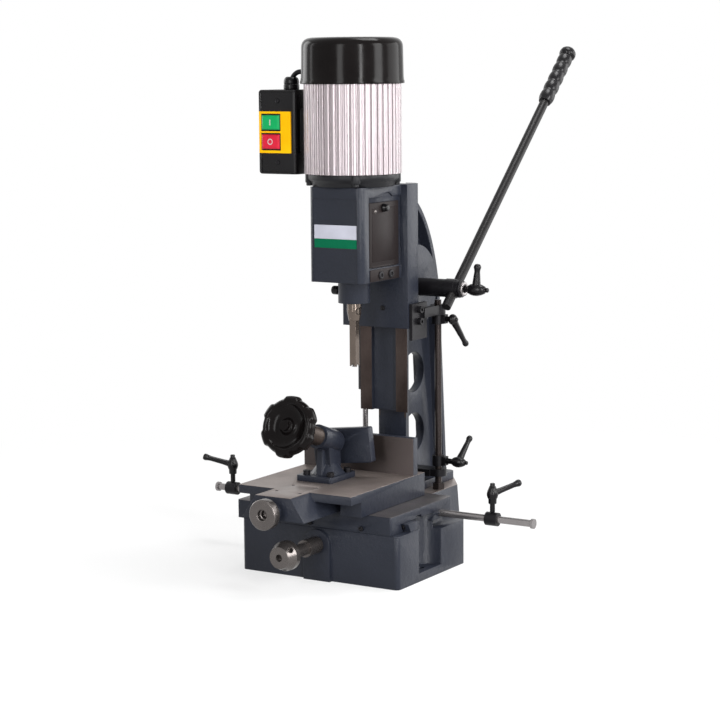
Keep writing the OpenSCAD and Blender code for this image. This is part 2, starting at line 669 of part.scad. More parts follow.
module cross_feed_screw() color(STEEL) translate([y_way_x, 0, feed_z]) {
  rod_y_axis(12, -apron_front - 14, 25);
  rod_y_axis(16, -apron_front - 13.6, -apron_front - 9 - slip);
}
module cross_feed_hub() color(STEEL) translate([y_way_x, -apron_front - 13.6, feed_z]) difference() {
  rotate([90, 0, 0]) rotate_extrude() polygon([[0, 0], [20, 0], [21, 1], [21, 12.4], [20, 13.4], [0, 13.4]]);
  rod_y_axis(12, -0.4, 1);
  rod_y_axis(12, -14, -8);
  rod_y_axis(7, -14, -4);
}

// Work clamp
function stand_screw_places() = [for (sx = [-1, 1], y = [-74, -30]) [clamp_x + sx * 20, y]];
module on_clamp_axis() translate([clamp_x, -wheel_y, wheel_z]) rotate([-90 - clamp_tilt, 0, 0]) children();
module clamp_stand() color(CAST) difference() {
  union() {
    translate([clamp_x - 2, -51.5, table_z]) slab(58, 67, 8, 4);
    on_clamp_axis() translate([0, 0, barrel_front_s]) cylinder(d = barrel_d, h = barrel_back_s - barrel_front_s);
    on_clamp_axis() translate([0, 0, bush_front_s]) cylinder(d = barrel_d - 8, h = barrel_front_s - bush_front_s + 1);
    along_x_at(clamp_x, 24) polygon([[-60, table_z + 7], [-34, table_z + 7], [-36, table_z + 50], [-66, table_z + 58]]);
    along_x_at(clamp_x, 9) polygon([[-74, table_z + 7], [-20, table_z + 7], [-31, table_z + 22], [-40, table_z + 40],
      [-74, table_z + 60], [-70, table_z + 40]]);
    translate([clamp_x, -50, table_z + 7]) cylinder(d1 = 50, d2 = 26, h = 16);
  }
  on_clamp_axis() cylinder(d = clamp_screw_d + 2 * run, h = 200);
  for (p = stand_screw_places()) translate([p[0], p[1], table_z - 1]) cylinder(d = 6.2, h = 30);
  for (p = stand_screw_places()) translate([p[0], p[1], table_z + 8]) cylinder(d = 10.6, h = 14);
}
module along_x_at(x, w) translate([x, 0, 0]) along_x(-w / 2, w / 2) children();
module clamp_stand_screws() color(BLACK) for (p = stand_screw_places())
  translate([p[0], p[1], table_z + 8]) cap_screw(6, 17);
module clamp_screw() color(STEEL) on_clamp_axis() translate([0, 0, -13]) cylinder(d = clamp_screw_d, h = jaw_s + 4);
module clamp_handwheel() color(BLACK) on_clamp_axis() difference() {
  union() {
    translate([0, 0, -9]) linear_extrude(18) union() {
      circle(d = wheel_d - 8);
      for (i = [0:lobe_count - 1]) rotate([0, 0, i * 360 / lobe_count])
        translate([wheel_d / 2 - 9, 0]) circle(9);
    }
    translate([0, 0, -12]) cylinder(d = 30, h = 38);
  }
  difference() {
    translate([0, 0, -10]) cylinder(d = wheel_d - 20, h = 9);
    translate([0, 0, -11]) cylinder(d = 30, h = 12);
  }
  translate([0, 0, -13]) cylinder(d = clamp_screw_d, h = 60);
}
module jaw_socket() color(STEEL) on_clamp_axis() translate([0, 0, jaw_s - 9 + slip]) difference() {
  cylinder(d = 18, h = 4);
  translate([0, 0, -1]) cylinder(d = 8, h = 8);
}
module clamp_jaw() color(CAST) difference() {
  union() {
    translate([clamp_x + jaw_offset, -jaw_y, jaw_z()]) rotate([0, -jaw_roll, 0]) rotate([90, 0, 0])
      translate([0, 0, -jaw_t / 2]) linear_extrude(jaw_t) rrect(jaw_w, jaw_h, 3);
    on_clamp_axis() translate([0, 0, jaw_s - 8.4]) cylinder(d = 8 - 2 * run, h = 9);
  }
}
jaw_offset = 5;
function jaw_z() = wheel_z - jaw_s * sin(clamp_tilt) - 3;

// Head
function way_half(y) = way_w / 2 - (y - way_y) * way_slope;
module way_room() {
  y0 = way_y - slip;
  y1 = slide_lip + 1;
  polygon([[-way_half(y0) - way_gap - gib_t, y0], [way_half(y0) + way_gap, y0], [way_half(y1) + way_gap, y1],
    [-way_half(y1) - way_gap - gib_t, y1]]);
}
module head_casting() color(CAST) difference() {
  union() {
    translate([0, 0, slide_low]) linear_extrude(slide_h) polygon([[-slide_w / 2, slide_front], [slide_w / 2, slide_front],
      [slide_w / 2, slide_back], [slide_w / 2 - 9, slide_lip], [-slide_w / 2 + 9, slide_lip], [-slide_w / 2, slide_back]]);
    translate([0, (slide_front + 2 - head_front) / 2, box_low]) slab(head_w, head_front + slide_front + 2, box_h, head_corner);
    box(-head_w / 2, head_w / 2, slide_front - 14, slide_front + 4, box_low, seat_z);
    translate([0, 0, box_low - nose_len]) cylinder(d = nose_d, h = nose_len + 1);
  }
  translate([0, 0, slide_low - 1]) linear_extrude(slide_h + 2) way_room();
  box(-gear_w / 2 - 0.5, gear_w / 2 + 0.5, way_y - 5, way_y + 1, slide_low + 24, seat_z - 4);
  box(-35.5, 35.5, -head_front - 1, -head_front + 1.5, box_low - 1, seat_z - 16);
  translate([0, 0, box_low + 14]) cylinder(r = 27, h = box_h - 24);
  box(4, head_w, -20, 42, box_low + 22, seat_z - 28);
  box(head_w / 2 - 2, head_w, -30, slide_front, box_low + 18.7, recess_top);
  translate([0, notch_y, recess_top - notch_drop]) rod_x_axis(2 * notch_r, head_w / 2 - 2, head_w);
  translate([0, 0, box_low + 13]) cylinder(r = 12, h = box_h);
  translate([0, 0, seat_z - 11]) cylinder(r = 27, h = 12);
  translate([0, 0, box_low - nose_len - 1]) cylinder(d = bush_d, h = nose_len + 12);
  translate([0, 0, box_low - 2]) cylinder(d = 12, h = 20);
  translate([0, 0, thumb_z]) rod_x_axis(6, -nose_d, 0);
  for (z = head_gib_heights()) translate([0, way_y + 8, z]) rod_x_axis(6, -slide_w, -way_w / 2 + 2);
}
thumb_z = box_low - 16;
recess_top = seat_z - 15;
notch_y = 20;
notch_r = 18.6;
notch_drop = 12.6;
function head_gib_heights() = [slide_low + 30, slide_low + 102, slide_low + 175];
module head_gib() color(STEEL) translate([0, 0, slide_low + 2]) linear_extrude(slide_h - 4) gib_plan(way_y + 0.2, slide_lip - 0.5);
module gib_plan(y0, y1) polygon([[-way_half(y0) - way_gap - gib_t, y0], [-way_half(y0) - way_gap, y0],
  [-way_half(y1) - way_gap, y1], [-way_half(y1) - way_gap - gib_t, y1]]);
module head_gib_screws() color(BLACK) for (z = head_gib_heights()) translate([0, way_y + 8, z]) difference() {
  rod_x_axis(6, -slide_w / 2 - 3, -way_w / 2 - gib_t + 3);
  translate([-slide_w / 2, 0, 0]) rotate([0, -90, 0]) cylinder(d = 3.4, h = 10, $fn = 6);
}
module lift_rack() color(STEEL) translate([-gear_w / 2, rack_pitch_y, gear_z0]) intersection() {
  rotate([90, 0, 90]) linear_extrude(gear_w) rotate([0, 0, -90]) mirror([0, 0, 0]) rack_profile(gear_m, 24, 10);
  translate([-5, -20, slide_low + 24 - gear_z0]) cube([gear_w + 10, 40, slide_h - 28]);
}
module head_lock_arm() color(MACHINED) {
  z0 = arm_z + 1;
  difference() {
    union() {
      box(slide_w / 2, slide_w / 2 + 5, slide_back - 26, slide_back + 16, slide_low - 17, slide_low + 35);
      box(slide_w / 2, slide_w / 2 + 10, slide_back + 1, rod_y, arm_z - 7, arm_z + 7);
      translate([rod_x, rod_y, arm_z - 7]) cylinder(d = collar_d + 4, h = 14);
      translate([0, 0, 0]) rod_collar(arm_z - 6 - collar_h);
    }
    translate([rod_x, rod_y, slide_low - 40]) cylinder(d = depth_rod_d + 2 * run, h = 90);
    for (z = lock_screw_heights()) translate([0, slide_back - 8, z]) rod_x_axis(6.2, slide_w / 2 - 1, slide_w / 2 + 12);
  }
}
function lock_screw_heights() = [slide_low + 9, slide_low + 26];
module head_lock_screws() color(BLACK) for (z = lock_screw_heights())
  translate([slide_w / 2 + 5, slide_back - 8, z]) rotate([0, 90, 0]) cap_screw(6, 4.8);
module head_lock_lever() color(BLACK)
  translate([rod_x + collar_d / 2 + 5 + slip, rod_y, arm_z - 6 - collar_h / 2]) rotate([-152, 0, 0]) lever_knob(13, 18, 46, 14);
module access_cover() color(MACHINED) {
  x = head_w / 2 - 2 + slip;
  box(x, x + 2.2, -29, 50, box_low + 19.5, seat_z - 21.5);
  translate([x + 2.2, 8, seat_z - 30]) rotate([0, 90, 0]) cylinder(d1 = 12, d2 = 9, h = 8);
}

// Chisel
module chisel_bush() color(STEEL) difference() {
  union() {
    translate([0, 0, box_low - nose_len]) cylinder(d = bush_d, h = nose_len + 8);
    translate([0, 0, box_low - nose_len - 12]) cylinder(d = bush_d, h = 12.5);
    translate([0, 0, box_low - nose_len - 25]) cylinder(d1 = shank_d, d2 = bush_d, h = 13.01);
  }
  translate([0, 0, box_low - nose_len - 30]) cylinder(d = shank_d - 0.6, h = 100);
  translate([12.5, 0, box_low - nose_len - 12]) rod_y_axis(12, -20, 20);
}
chisel_top = box_low - nose_len - 25;
module square_chisel() color(STEEL) difference() {
  union() {
    translate([0, 0, chisel_top - chisel_len / 2]) cube([chisel_w, chisel_w, chisel_len + 0.1], center = true);
    translate([0, 0, chisel_top - 0.05]) cylinder(d = shank_d - 0.6, h = nose_len + 25);
  }
  translate([0, 0, chisel_top - chisel_len - 5]) cylinder(d = auger_d + 0.4, h = 150);
  translate([0, 0, chisel_top - chisel_len - 0.01]) cylinder(d1 = chisel_w * 1.2, d2 = auger_d, h = 4);
  for (a = [0, 90]) rotate([0, 0, a]) translate([0, 0, chisel_top - chisel_len]) along_y(-20, 20)
    polygon([[-2.6, -1], [2.6, -1], [0, 4.5]]);
  box(-20, 0, -auger_d / 2 + 1, auger_d / 2 - 1, chisel_top - chisel_len + 12, chisel_top - 14);
}
module chisel_thumb_screw() color(BLACK) translate([0, 0, thumb_z]) {
  rod_x_axis(6 - 2 * run, -nose_d / 2 - 4, -bush_d / 2 - slip);
  rod_x_axis(13, -nose_d / 2 - 13, -nose_d / 2 - 1);
}

// Motor
module motor_end_flange() color(BLACK) difference() {
  union() {
    translate([0, 0, seat_z]) rotate_extrude() polygon([[0, 0], [flange_r - 7, 0],
      [flange_r - 5.5, 3], [flange_r - 0.5, 8], [flange_r, 10], [flange_r, end_flange_h], [0, end_flange_h]]);
    translate([0, 0, seat_z - 10]) cylinder(r = 26.7, h = 11);
    for (a = [45:90:315]) rotate([0, 0, a]) translate([60, 0, seat_z + 4]) cylinder(r = 7, h = end_flange_h - 4);
  }
  translate([0, 0, seat_z - 11]) cylinder(d = shaft_d + 2 * run, h = 60);
  translate([0, 0, seat_z + 10]) cylinder(r = 36, h = 20);
}
module motor_body() color(STEEL) difference() {
  translate([0, 0, motor_low]) linear_extrude(motor_h) union() {
    circle(motor_d / 2 - fin_h);
    for (i = [0:fin_count - 1]) rotate([0, 0, i * 360 / fin_count])
      translate([motor_d / 2 - fin_h - 2, -1.3]) square([fin_h + 2, 2.6]);
  }
  translate([0, 0, motor_low - 1]) cylinder(r = motor_d / 2 - fin_h - 5, h = motor_h + 2);
}
module motor_cap() color(BLACK) translate([0, 0, cap_low]) difference() {
  rotate_extrude() union() {
    polygon([[0, 0], [cap_d / 2, 0], [cap_d / 2, 3], [cap_d / 2 - 1.6, 9], [cap_d / 2 - 1.6, cap_h - 14], [cap_d / 2 - 15.6, cap_h - 1],
      [30, cap_h], [0, cap_h]]);
    translate([cap_d / 2 - 15.6, cap_h - 14.6]) circle(14);
  }
  translate([0, 0, -1]) cylinder(r = motor_d / 2 - 10, h = cap_h - 8);
  translate([0, 0, gland_mouth_z - cap_low]) rod_x_axis(cable_d, -cap_d, -40);
}
module motor_stator() color("#7a3d22") translate([0, 0, motor_low + 22]) difference() {
  cylinder(r = motor_d / 2 - fin_h - 5, h = 78);
  translate([0, 0, -1]) cylinder(r = 38, h = 90);
}
module motor_rotor() color(STEEL) {
  translate([0, 0, motor_low + 24]) cylinder(r = 37.2, h = 74);
  translate([0, 0, seat_z - 40]) cylinder(d = shaft_d, h = end_flange_h + motor_h + 60);
  for (a = [0:60:300]) rotate([0, 0, a]) translate([6, -1.5, cap_low + 4]) cube([44, 3, 16]);
}
module auger_chuck() color(STEEL) translate([0, 0, seat_z - 82]) difference() {
  union() {
    cylinder(d1 = 26, d2 = 36, h = 12);
    translate([0, 0, 12]) cylinder(d = 36, h = 36);
  }
  translate([0, 0, -1]) cylinder(d = auger_d, h = 60);
  translate([0, 0, 42]) cylinder(d = shaft_d, h = 20);
}
module auger_bit() color(STEEL) {
  translate([0, 0, chisel_top]) cylinder(d = auger_d - 0.4, h = seat_z - 60 - chisel_top);
  translate([0, 0, chisel_top - chisel_len - 1.5]) linear_extrude(chisel_len + 2, twist = -1000, slices = 50)
    square([auger_d - 0.8, 2.6], center = true);
}

// Switch
gland_x = -101;
gland_mouth_z = gland_z + 25;
cable_bend = 16;
module switch_box() color(BLACK) {
  difference() {
    union() {
      translate([switch_x, 0, switch_z - switch_h / 2]) slab(switch_w, switch_d, switch_h, 6);
      box(switch_x + switch_w / 2 - 4, -55, -14, 14, switch_z - 32, switch_z + 32);
      translate([gland_x, 0, gland_z - 1]) cylinder(d = 20, h = 6, $fn = 6);
      translate([gland_x, 0, gland_z + 4]) cylinder(d1 = 18, d2 = 12, h = gland_mouth_z - cable_bend - gland_z - 4);
    }
    translate([0, 0, 400]) cylinder(d = motor_d, h = 400);
    for (dz = [-13.5, 13.5]) box(button_x - button_w / 2 - slip, button_x + button_w / 2 + slip,
      -switch_front - 5, -switch_front + 12, switch_z + dz - button_h / 2 - slip, switch_z + dz + button_h / 2 + slip);
    translate([gland_x, 0, gland_z + 2]) cylinder(d = cable_d, h = 40);
  }
}
module motor_cable() color(BLACK) {
  translate([gland_x, 0, gland_z + 2]) cylinder(d = cable_d, h = gland_mouth_z - cable_bend - gland_z - 2);
  translate([gland_x + cable_bend, 0, gland_mouth_z - cable_bend]) rotate([90, 0, 0]) rotate([0, 0, 90])
    rotate_extrude(angle = 90) translate([cable_bend, 0]) circle(d = cable_d);
  translate([0, 0, gland_mouth_z]) rod_x_axis(cable_d, gland_x + cable_bend, -cap_d / 2 + 12);
}
module push_button(dz) box(button_x - button_w / 2, button_x + button_w / 2,
  -switch_front - 6, -switch_front + 12 - button_travel - slip, switch_z + dz - button_h / 2, switch_z + dz + button_h / 2);
module start_button() color("#1f8a4c") push_button(13.5);
module stop_button() color("#c02a2e") push_button(-13.5);

base_casting();
column_casting();
column_bolts();
gear_cover();
depth_rod();
rod_bracket();
strut_rod();
gear_shaft();
lift_gear();
lever_hub();
feed_lever();
lever_grip();
hub_clamp_lever();
depth_stop_collar();
depth_stop_lever();
saddle_feed_hub();
saddle_pinion_shaft();
saddle_casting();
saddle_rack();
saddle_gib();
stop_rod();
cross_nut();
left_stop_collar();
left_stop_lever();
right_stop_collar();
right_stop_lever();
table_casting();
table_gib();
clamp_stand();
clamp_stand_screws();
cross_feed_hub();
cross_feed_screw();
jaw_socket();
clamp_screw();
clamp_handwheel();
clamp_jaw();
head_casting();
lift_rack();
head_gib();
head_gib_screws();
strut_cylinder();
strut_bracket();
head_lock_arm();
head_lock_screws();
head_lock_lever();
access_cover();
chisel_bush();
square_chisel();
chisel_thumb_screw();
motor_end_flange();
motor_body();
motor_cap();
motor_stator();
motor_rotor();
auger_chuck();
auger_bit();
switch_box();
motor_cable();
start_button();
stop_button();
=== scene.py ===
"""A mortiser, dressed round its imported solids.

Sizes and places of pieces are in millimetres, in the frame of the solids: +X to the machine's
right, +Y to the column at its back, +Z up from the underside of the base, with the spindle axis
on X = 0 and Y = 0. Values inside materials, the lamps and the camera are in metres.
"""
import logging
import math
from dataclasses import dataclass
from enum import Enum
from typing import Callable, Optional, Sequence, Union

import bpy
from mathutils import Matrix, Vector


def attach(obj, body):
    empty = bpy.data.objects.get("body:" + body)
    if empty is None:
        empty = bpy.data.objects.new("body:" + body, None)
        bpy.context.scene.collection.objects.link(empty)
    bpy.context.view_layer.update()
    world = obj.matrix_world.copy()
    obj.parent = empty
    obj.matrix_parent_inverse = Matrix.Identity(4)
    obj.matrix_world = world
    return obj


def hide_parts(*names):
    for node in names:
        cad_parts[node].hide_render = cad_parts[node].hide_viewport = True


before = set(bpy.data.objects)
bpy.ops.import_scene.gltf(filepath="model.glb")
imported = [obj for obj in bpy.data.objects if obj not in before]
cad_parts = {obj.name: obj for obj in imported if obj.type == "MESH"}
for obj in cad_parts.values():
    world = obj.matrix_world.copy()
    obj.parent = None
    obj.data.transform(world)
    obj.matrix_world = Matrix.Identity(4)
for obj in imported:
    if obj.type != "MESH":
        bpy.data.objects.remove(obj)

logging.basicConfig(level=logging.INFO, format="%(message)s")
LOG = logging.getLogger("mortiser")
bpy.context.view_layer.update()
MM = 0.001
# Vertices of a new piece closer than this are one, in metres
PIECE_MERGE = 0.000005
# The same for a copy of a solid, whose flat faces are then cleared of edges up to this angle
SOLID_MERGE = 0.00001
SOLID_FLAT = math.radians(0.6)
# The work clamp: the middle of its handwheel, and the slope of its screw in degrees
CLAMP_CENTRE = (-15.0, -148.0, 221.6)
CLAMP_TILT = 18.7

Point = tuple[float, float, float]
Colour = tuple[float, float, float]
Profile = Sequence[tuple[float, float]]


class Way(Enum):
    """The straight directions that pieces point in."""

    RIGHT = Vector((1, 0, 0))
    LEFT = Vector((-1, 0, 0))
    BACK = Vector((0, 1, 0))
    FRONT = Vector((0, -1, 0))
    UP = Vector((0, 0, 1))


# Shaders


def feed(slot: bpy.types.NodeSocket, value: "Sock | float | Point") -> None:
    """Links or sets one input socket.

    Args:
        slot: the socket.
        value: what it is linked to, or its value. A colour gets its alpha here.
    """
    if isinstance(value, Sock):
        value.tree.links.new(value.out, slot)
    elif slot.type == "RGBA":
        slot.default_value = (*value, 1.0)
    else:
        slot.default_value = value


def add_node(tree: bpy.types.NodeTree, kind: str, settings: dict, values: dict) -> bpy.types.Node:
    """Adds a node to a tree.

    Args:
        tree: the node tree.
        kind: the node's type.
        settings: its attributes, which are set first.
        values: values or Socks by input name or number.

    Returns:
        The node.
    """
    node = tree.nodes.new(kind)
    for key, value in settings.items():
        setattr(node, key, value)
    for key, value in values.items():
        feed(node.inputs[key], value)
    return node


class Sock:
    """A shader socket that takes part in Python arithmetic."""

    def __init__(self, tree: bpy.types.NodeTree, out: bpy.types.NodeSocket) -> None:
        """Wraps an output socket of the node tree."""
        self.tree = tree
        self.out = out

    def _math(self, operation: str, *values: "Sock | float", clamp: bool = False) -> "Sock":
        """Adds one Math node.

        Args:
            operation: the node's operation.
            values: its inputs, sockets or numbers.
            clamp: whether the result is held between 0 and 1.

        Returns:
            The node's output.
        """
        settings = {"operation": operation, "use_clamp": clamp}
        node = add_node(self.tree, "ShaderNodeMath", settings, dict(enumerate(values)))
        return Sock(self.tree, node.outputs[0])

    def __add__(self, other: "Sock | float") -> "Sock":
        """Adds."""
        return self._math("ADD", self, other)

    def __radd__(self, other: float) -> "Sock":
        """Adds, with the number first."""
        return self._math("ADD", other, self)

    def __sub__(self, other: "Sock | float") -> "Sock":
        """Subtracts."""
        return self._math("SUBTRACT", self, other)

    def __rsub__(self, other: float) -> "Sock":
        """Subtracts from a number."""
        return self._math("SUBTRACT", other, self)

    def __mul__(self, other: "Sock | float") -> "Sock":
        """Multiplies."""
        return self._math("MULTIPLY", self, other)

    def __rmul__(self, other: float) -> "Sock":
        """Multiplies, with the number first."""
        return self._math("MULTIPLY", other, self)

    def above(self, edge: float, soft: float = 0.0002) -> "Sock":
        """A mask that rises from 0 to 1 as the value passes edge, over the width soft."""
        return self._math("MULTIPLY", self - (edge - soft / 2), 1 / soft, clamp=True)

    def below(self, edge: float, soft: float = 0.0002) -> "Sock":
        """A mask that falls from 1 to 0 as the value passes edge, over the width soft."""
        return 1.0 - self.above(edge, soft)

    def clamp(self) -> "Sock":
        """The value, held between 0 and 1."""
        return self._math("ADD", self, 0.0, clamp=True)

    def max(self, other: "Sock | float") -> "Sock":
        """The larger value."""
        return self._math("MAXIMUM", self, other)


class Pattern(Enum):
    """Noise patterns: features per metre, octaves and the strength of the fine octaves."""

    CLOUD = (14, 2, 0.55)
    STAIN = (22, 4, 0.6)
    DUST = (26, 4, 0.6)
    TARNISH = (30, 3, 0.55)
    LUMPS = (95, 2, 0.55)
    SCRATCH = (240, 5, 0.7)
    GRIT = (420, 4, 0.6)
    TURNING = (900, 4, 0.6)
    SPARK = (1500, 2, 0.5)


class Shader:
    """One material under construction, with its Principled shader and Object coordinates."""

    def __init__(self, name: str) -> None:
        """Starts the material.

        Args:
            name: the material's name.
        """
        self.mat = bpy.data.materials.new(name)
        self.mat.use_nodes = True
        self.tree = self.mat.node_tree
        self.bsdf = self.tree.nodes["Principled BSDF"]
        coords = self.node("ShaderNodeTexCoord", {}, {})
        self.place = Sock(self.tree, coords.outputs["Object"])
        split = self.node("ShaderNodeSeparateXYZ", {}, {0: self.place})
        self.x, self.y, self.z = (Sock(self.tree, split.outputs[i]) for i in range(3))

    def node(self, kind: str, settings: dict, values: dict) -> bpy.types.Node:
        """Adds a node to the material, as add_node does."""
        return add_node(self.tree, kind, settings, values)

    def noise(self, pattern: Pattern, stretch: Point = (1, 1, 1)) -> Sock:
        """Noise over the surface.

        Args:
            pattern: which noise.
            stretch: its scale along each axis, for grain.

        Returns:
            The noise, about 0.5 in the middle.
        """
        scale, detail, rough = pattern.value
        moved = self.node("ShaderNodeMapping", {}, {"Vector": self.place, "Scale": stretch})
        values = {"Vector": Sock(self.tree, moved.outputs[0]), "Scale": scale, "Detail": detail,
                  "Roughness": rough}
        return Sock(self.tree, self.node("ShaderNodeTexNoise", {}, values).outputs["Fac"])

    def mix(self, factor: Sock, first: "Sock | Colour", second: "Sock | Colour") -> Sock:
        """Blends two colours.

        Args:
            factor: 0 for the first, 1 for the second.
            first: a colour.
            second: another colour.

        Returns:
            The blend.
        """
        values = {0: factor, 6: first, 7: second}
        return Sock(self.tree, self.node("ShaderNodeMix", {"data_type": "RGBA"}, values).outputs[2])

    def set(self, **values: "Sock | float | Colour") -> None:
        """Sets sockets of the Principled shader, with _ for a space in a name."""
        for key, value in values.items():
            feed(self.bsdf.inputs[key.replace("_", " ")], value)

    def relief(self, height: Sock, depth: float, rounding: float) -> None:
        """Bumps the surface.

        Args:
            height: the relief, 0 to 1.
            depth: its depth.
            rounding: the radius over which sharp edges look rounded.
        """
        edge = self.node("ShaderNodeBevel", {"samples": 4}, {"Radius": rounding})
        values = {"Height": height, "Strength": 1.0, "Distance": depth,
                  "Normal": Sock(self.tree, edge.outputs[0])}
        bump = self.node("ShaderNodeBump", {}, values)
        self.set(Normal=Sock(self.tree, bump.outputs[0]))


def srgb(text: str) -> Colour:
    """Works out a linear colour.

    Args:
        text: a hex code such as #2b2d38.

    Returns:
        The linear colour.
    """
    parts = [int(text[i:i + 2], 16) / 255 for i in (1, 3, 5)]
    linear = [c / 12.92 if c <= 0.04045 else ((c + 0.055) / 1.055) ** 2.4 for c in parts]
    return (linear[0], linear[1], linear[2])


def shade(colour: Colour, share: float, lift: float = 0.0) -> Colour:
    """The colour times share, plus lift, and at most white."""
    red, green, blue = (min(1.0, c * share + lift) for c in colour)
    return (red, green, blue)


# Finishes

Mask = Callable[[Shader], Sock]


@dataclass(frozen=True)
class CastPaint:
    """Enamel on sand-cast iron, with bare machined faces where a mask says so.

    The shares say how much a noise adds to a value, bare_grain stretches the machining marks,
    metal holds the stained and the clean colour of bare faces, and a further mask darkens bare faces as
    painted shade.
    Scratches brighten the metal from scratch_from upwards.
    """

    name: str
    colour: Colour = srgb("#22252e")
    bare: Optional[Mask] = None
    bare_grain: Point = (1.0, 12.0, 12.0)
    roughness: float = 0.32
    cast_depth: float = 0.0008
    metal: tuple[Colour, Colour] = (srgb("#5c5451"), srgb("#958a85"))
    painted_shade_mask: Optional[Mask] = None
    specular: float = 0.2
    mottle: float = 0.2
    grit_share: float = 0.35
    rough_share: float = 0.22
    rounding: float = 0.0012
    bare_rounding: float = 0.0010
    bare_roughness: float = 0.26
    bare_metallic: float = 0.7
    scratch_depth: float = 0.12
    scratch_from: float = 0.4
    scratch_share: float = 0.6
    # The colour and the share of the painted shade laid on masked bare faces
    painted_shade_colour: Colour = srgb("#262020")
    painted_shade_share: float = 0.88

    def material(self) -> bpy.types.Material:
        """Builds the material.

        Returns:
            The material.
        """
        s = Shader(self.name)
        grit = s.noise(Pattern.GRIT)
        paint = s.mix(s.noise(Pattern.CLOUD), shade(self.colour, 1 - self.mottle),
                      shade(self.colour, 1 + self.mottle))
        rough = self.roughness + (grit - 0.5) * self.rough_share
        height = grit * self.grit_share + s.noise(Pattern.LUMPS) * (1 - self.grit_share)
        if self.bare is None:
            s.set(Base_Color=paint, Roughness=rough, Metallic=0.0)
            s.relief(height, self.cast_depth, self.rounding)
        else:
            mask = self.bare(s)
            scratch = s.noise(Pattern.SCRATCH, self.bare_grain)
            worn = self.bare_roughness + scratch * self.bare_roughness
            s.set(Base_Color=s.mix(mask, paint, self.bare_colour(s, scratch)),
                  Roughness=rough * (1.0 - mask) + mask * worn, Metallic=mask * self.bare_metallic)
            s.relief(height * (1.0 - mask) + mask * scratch * self.scratch_depth, self.cast_depth,
                     self.bare_rounding)
        s.set(Specular_IOR_Level=self.specular)
        return s.mat

    def bare_colour(self, s: Shader, scratch: Sock) -> Sock:
        """The colour of the bare faces.

        Args:
            s: the material under construction.
            scratch: the machining marks.

        Returns:
            The stained and scratched metal, darkened with painted shade where that mask holds.
        """
        dull, clean = self.metal
        metal = s.mix(s.noise(Pattern.STAIN), dull, clean)
        glint = (scratch - self.scratch_from) * self.scratch_share
        metal = s.mix(glint, metal, shade(clean, 1.5))
        # Painted shade: bare metal under the mask is darkened towards a dark brown in place of real
        # shade
        if self.painted_shade_mask is not None:
            metal = s.mix(self.painted_shade_mask(s) * self.painted_shade_share, metal, self.painted_shade_colour)
        return metal


@dataclass(frozen=True)
class Metal:
    """Turned or ground metal, with fine marks and a darker stain."""

    name: str
    colour: Colour
    roughness: float = 0.28
    metallic: float = 1.0
    stain: float = 0.35
    depth: float = 0.000012
    grain: Point = (1.0, 1.0, 1.0)
    specular: float = 0.2
    rough_share: float = 0.2
    rounding: float = 0.0004

    def material(self) -> bpy.types.Material:
        """Builds the material.

        Returns:
            The material.
        """
        s = Shader(self.name)
        marks = s.noise(Pattern.TURNING, self.grain)
        stained = shade(self.colour, 1 - self.stain)
        s.set(Base_Color=s.mix(s.noise(Pattern.TARNISH), stained, self.colour),
              Roughness=self.roughness + (marks - 0.5) * self.rough_share,
              Metallic=self.metallic, Specular_IOR_Level=self.specular)
        s.relief(marks, self.depth, self.rounding)
        return s.mat


@dataclass(frozen=True)
class Moulded:
    """Moulded plastic with a fine spark-eroded texture, and dust from dust_from upwards."""

    name: str
    colour: Colour
    roughness: float = 0.42
    texture: float = 0.00005
    specular: float = 0.1
    rough_share: float = 0.16
    dust_from: float = 0.35
    dust_share: float = 0.9
    rounding: float = 0.0006

    def material(self) -> bpy.types.Material:
        """Builds the material.

        Returns:
            The material.
        """
        s = Shader(self.name)
        dust = s.noise(Pattern.DUST)
        film = (dust - self.dust_from) * self.dust_share
        s.set(Base_Color=s.mix(film, self.colour, shade(self.colour, 1.5, 0.004)),
              Roughness=self.roughness + (dust - 0.5) * self.rough_share, Metallic=0.0,
              Specular_IOR_Level=self.specular)
        s.relief(s.noise(Pattern.SPARK), self.texture, self.rounding)
        return s.mat


def bare_column(s: Shader) -> Sock:
    """Masks the machined lands of the column's dovetail, on each side of its painted groove.

    Args:
        s: the material under construction.

    Returns:
        The mask.
    """
    land_front, land_bottom, land_top, groove_half = 0.1042, 0.2, 0.533, 0.0202
    strip = s.y.below(land_front) * s.z.above(land_bottom) * s.z.below(land_top)
    return strip * (s.x * s.x).above(groove_half ** 2, 0.00001)


def bare_table(s: Shader) -> Sock:
    """Masks the table's ground top and the working face of its fence.

    Args:
        s: the material under construction.

    Returns:
        The mask.
    """
    top_z, fence_y, skin = 0.1332, 0.0212, 0.0006
    top = s.z.above(top_z) * s.z.below(top_z + skin)
    return top.max(s.z.above(top_z) * s.y.above(fence_y) * s.y.below(fence_y + skin))


def bare_bush(s: Shader) -> Sock:
    """Masks the steel bush at the mouth of the clamp's barrel, by distance along its screw.

    Args:
        s: the material under construction.

    Returns:
        The mask.
    """
    slope = math.radians(CLAMP_TILT)
    _, y, z = (value * MM for value in CLAMP_CENTRE)
    mouth = 0.0748
    return ((s.y - y) * math.cos(slope) - (s.z - z) * math.sin(slope)).below(mouth)


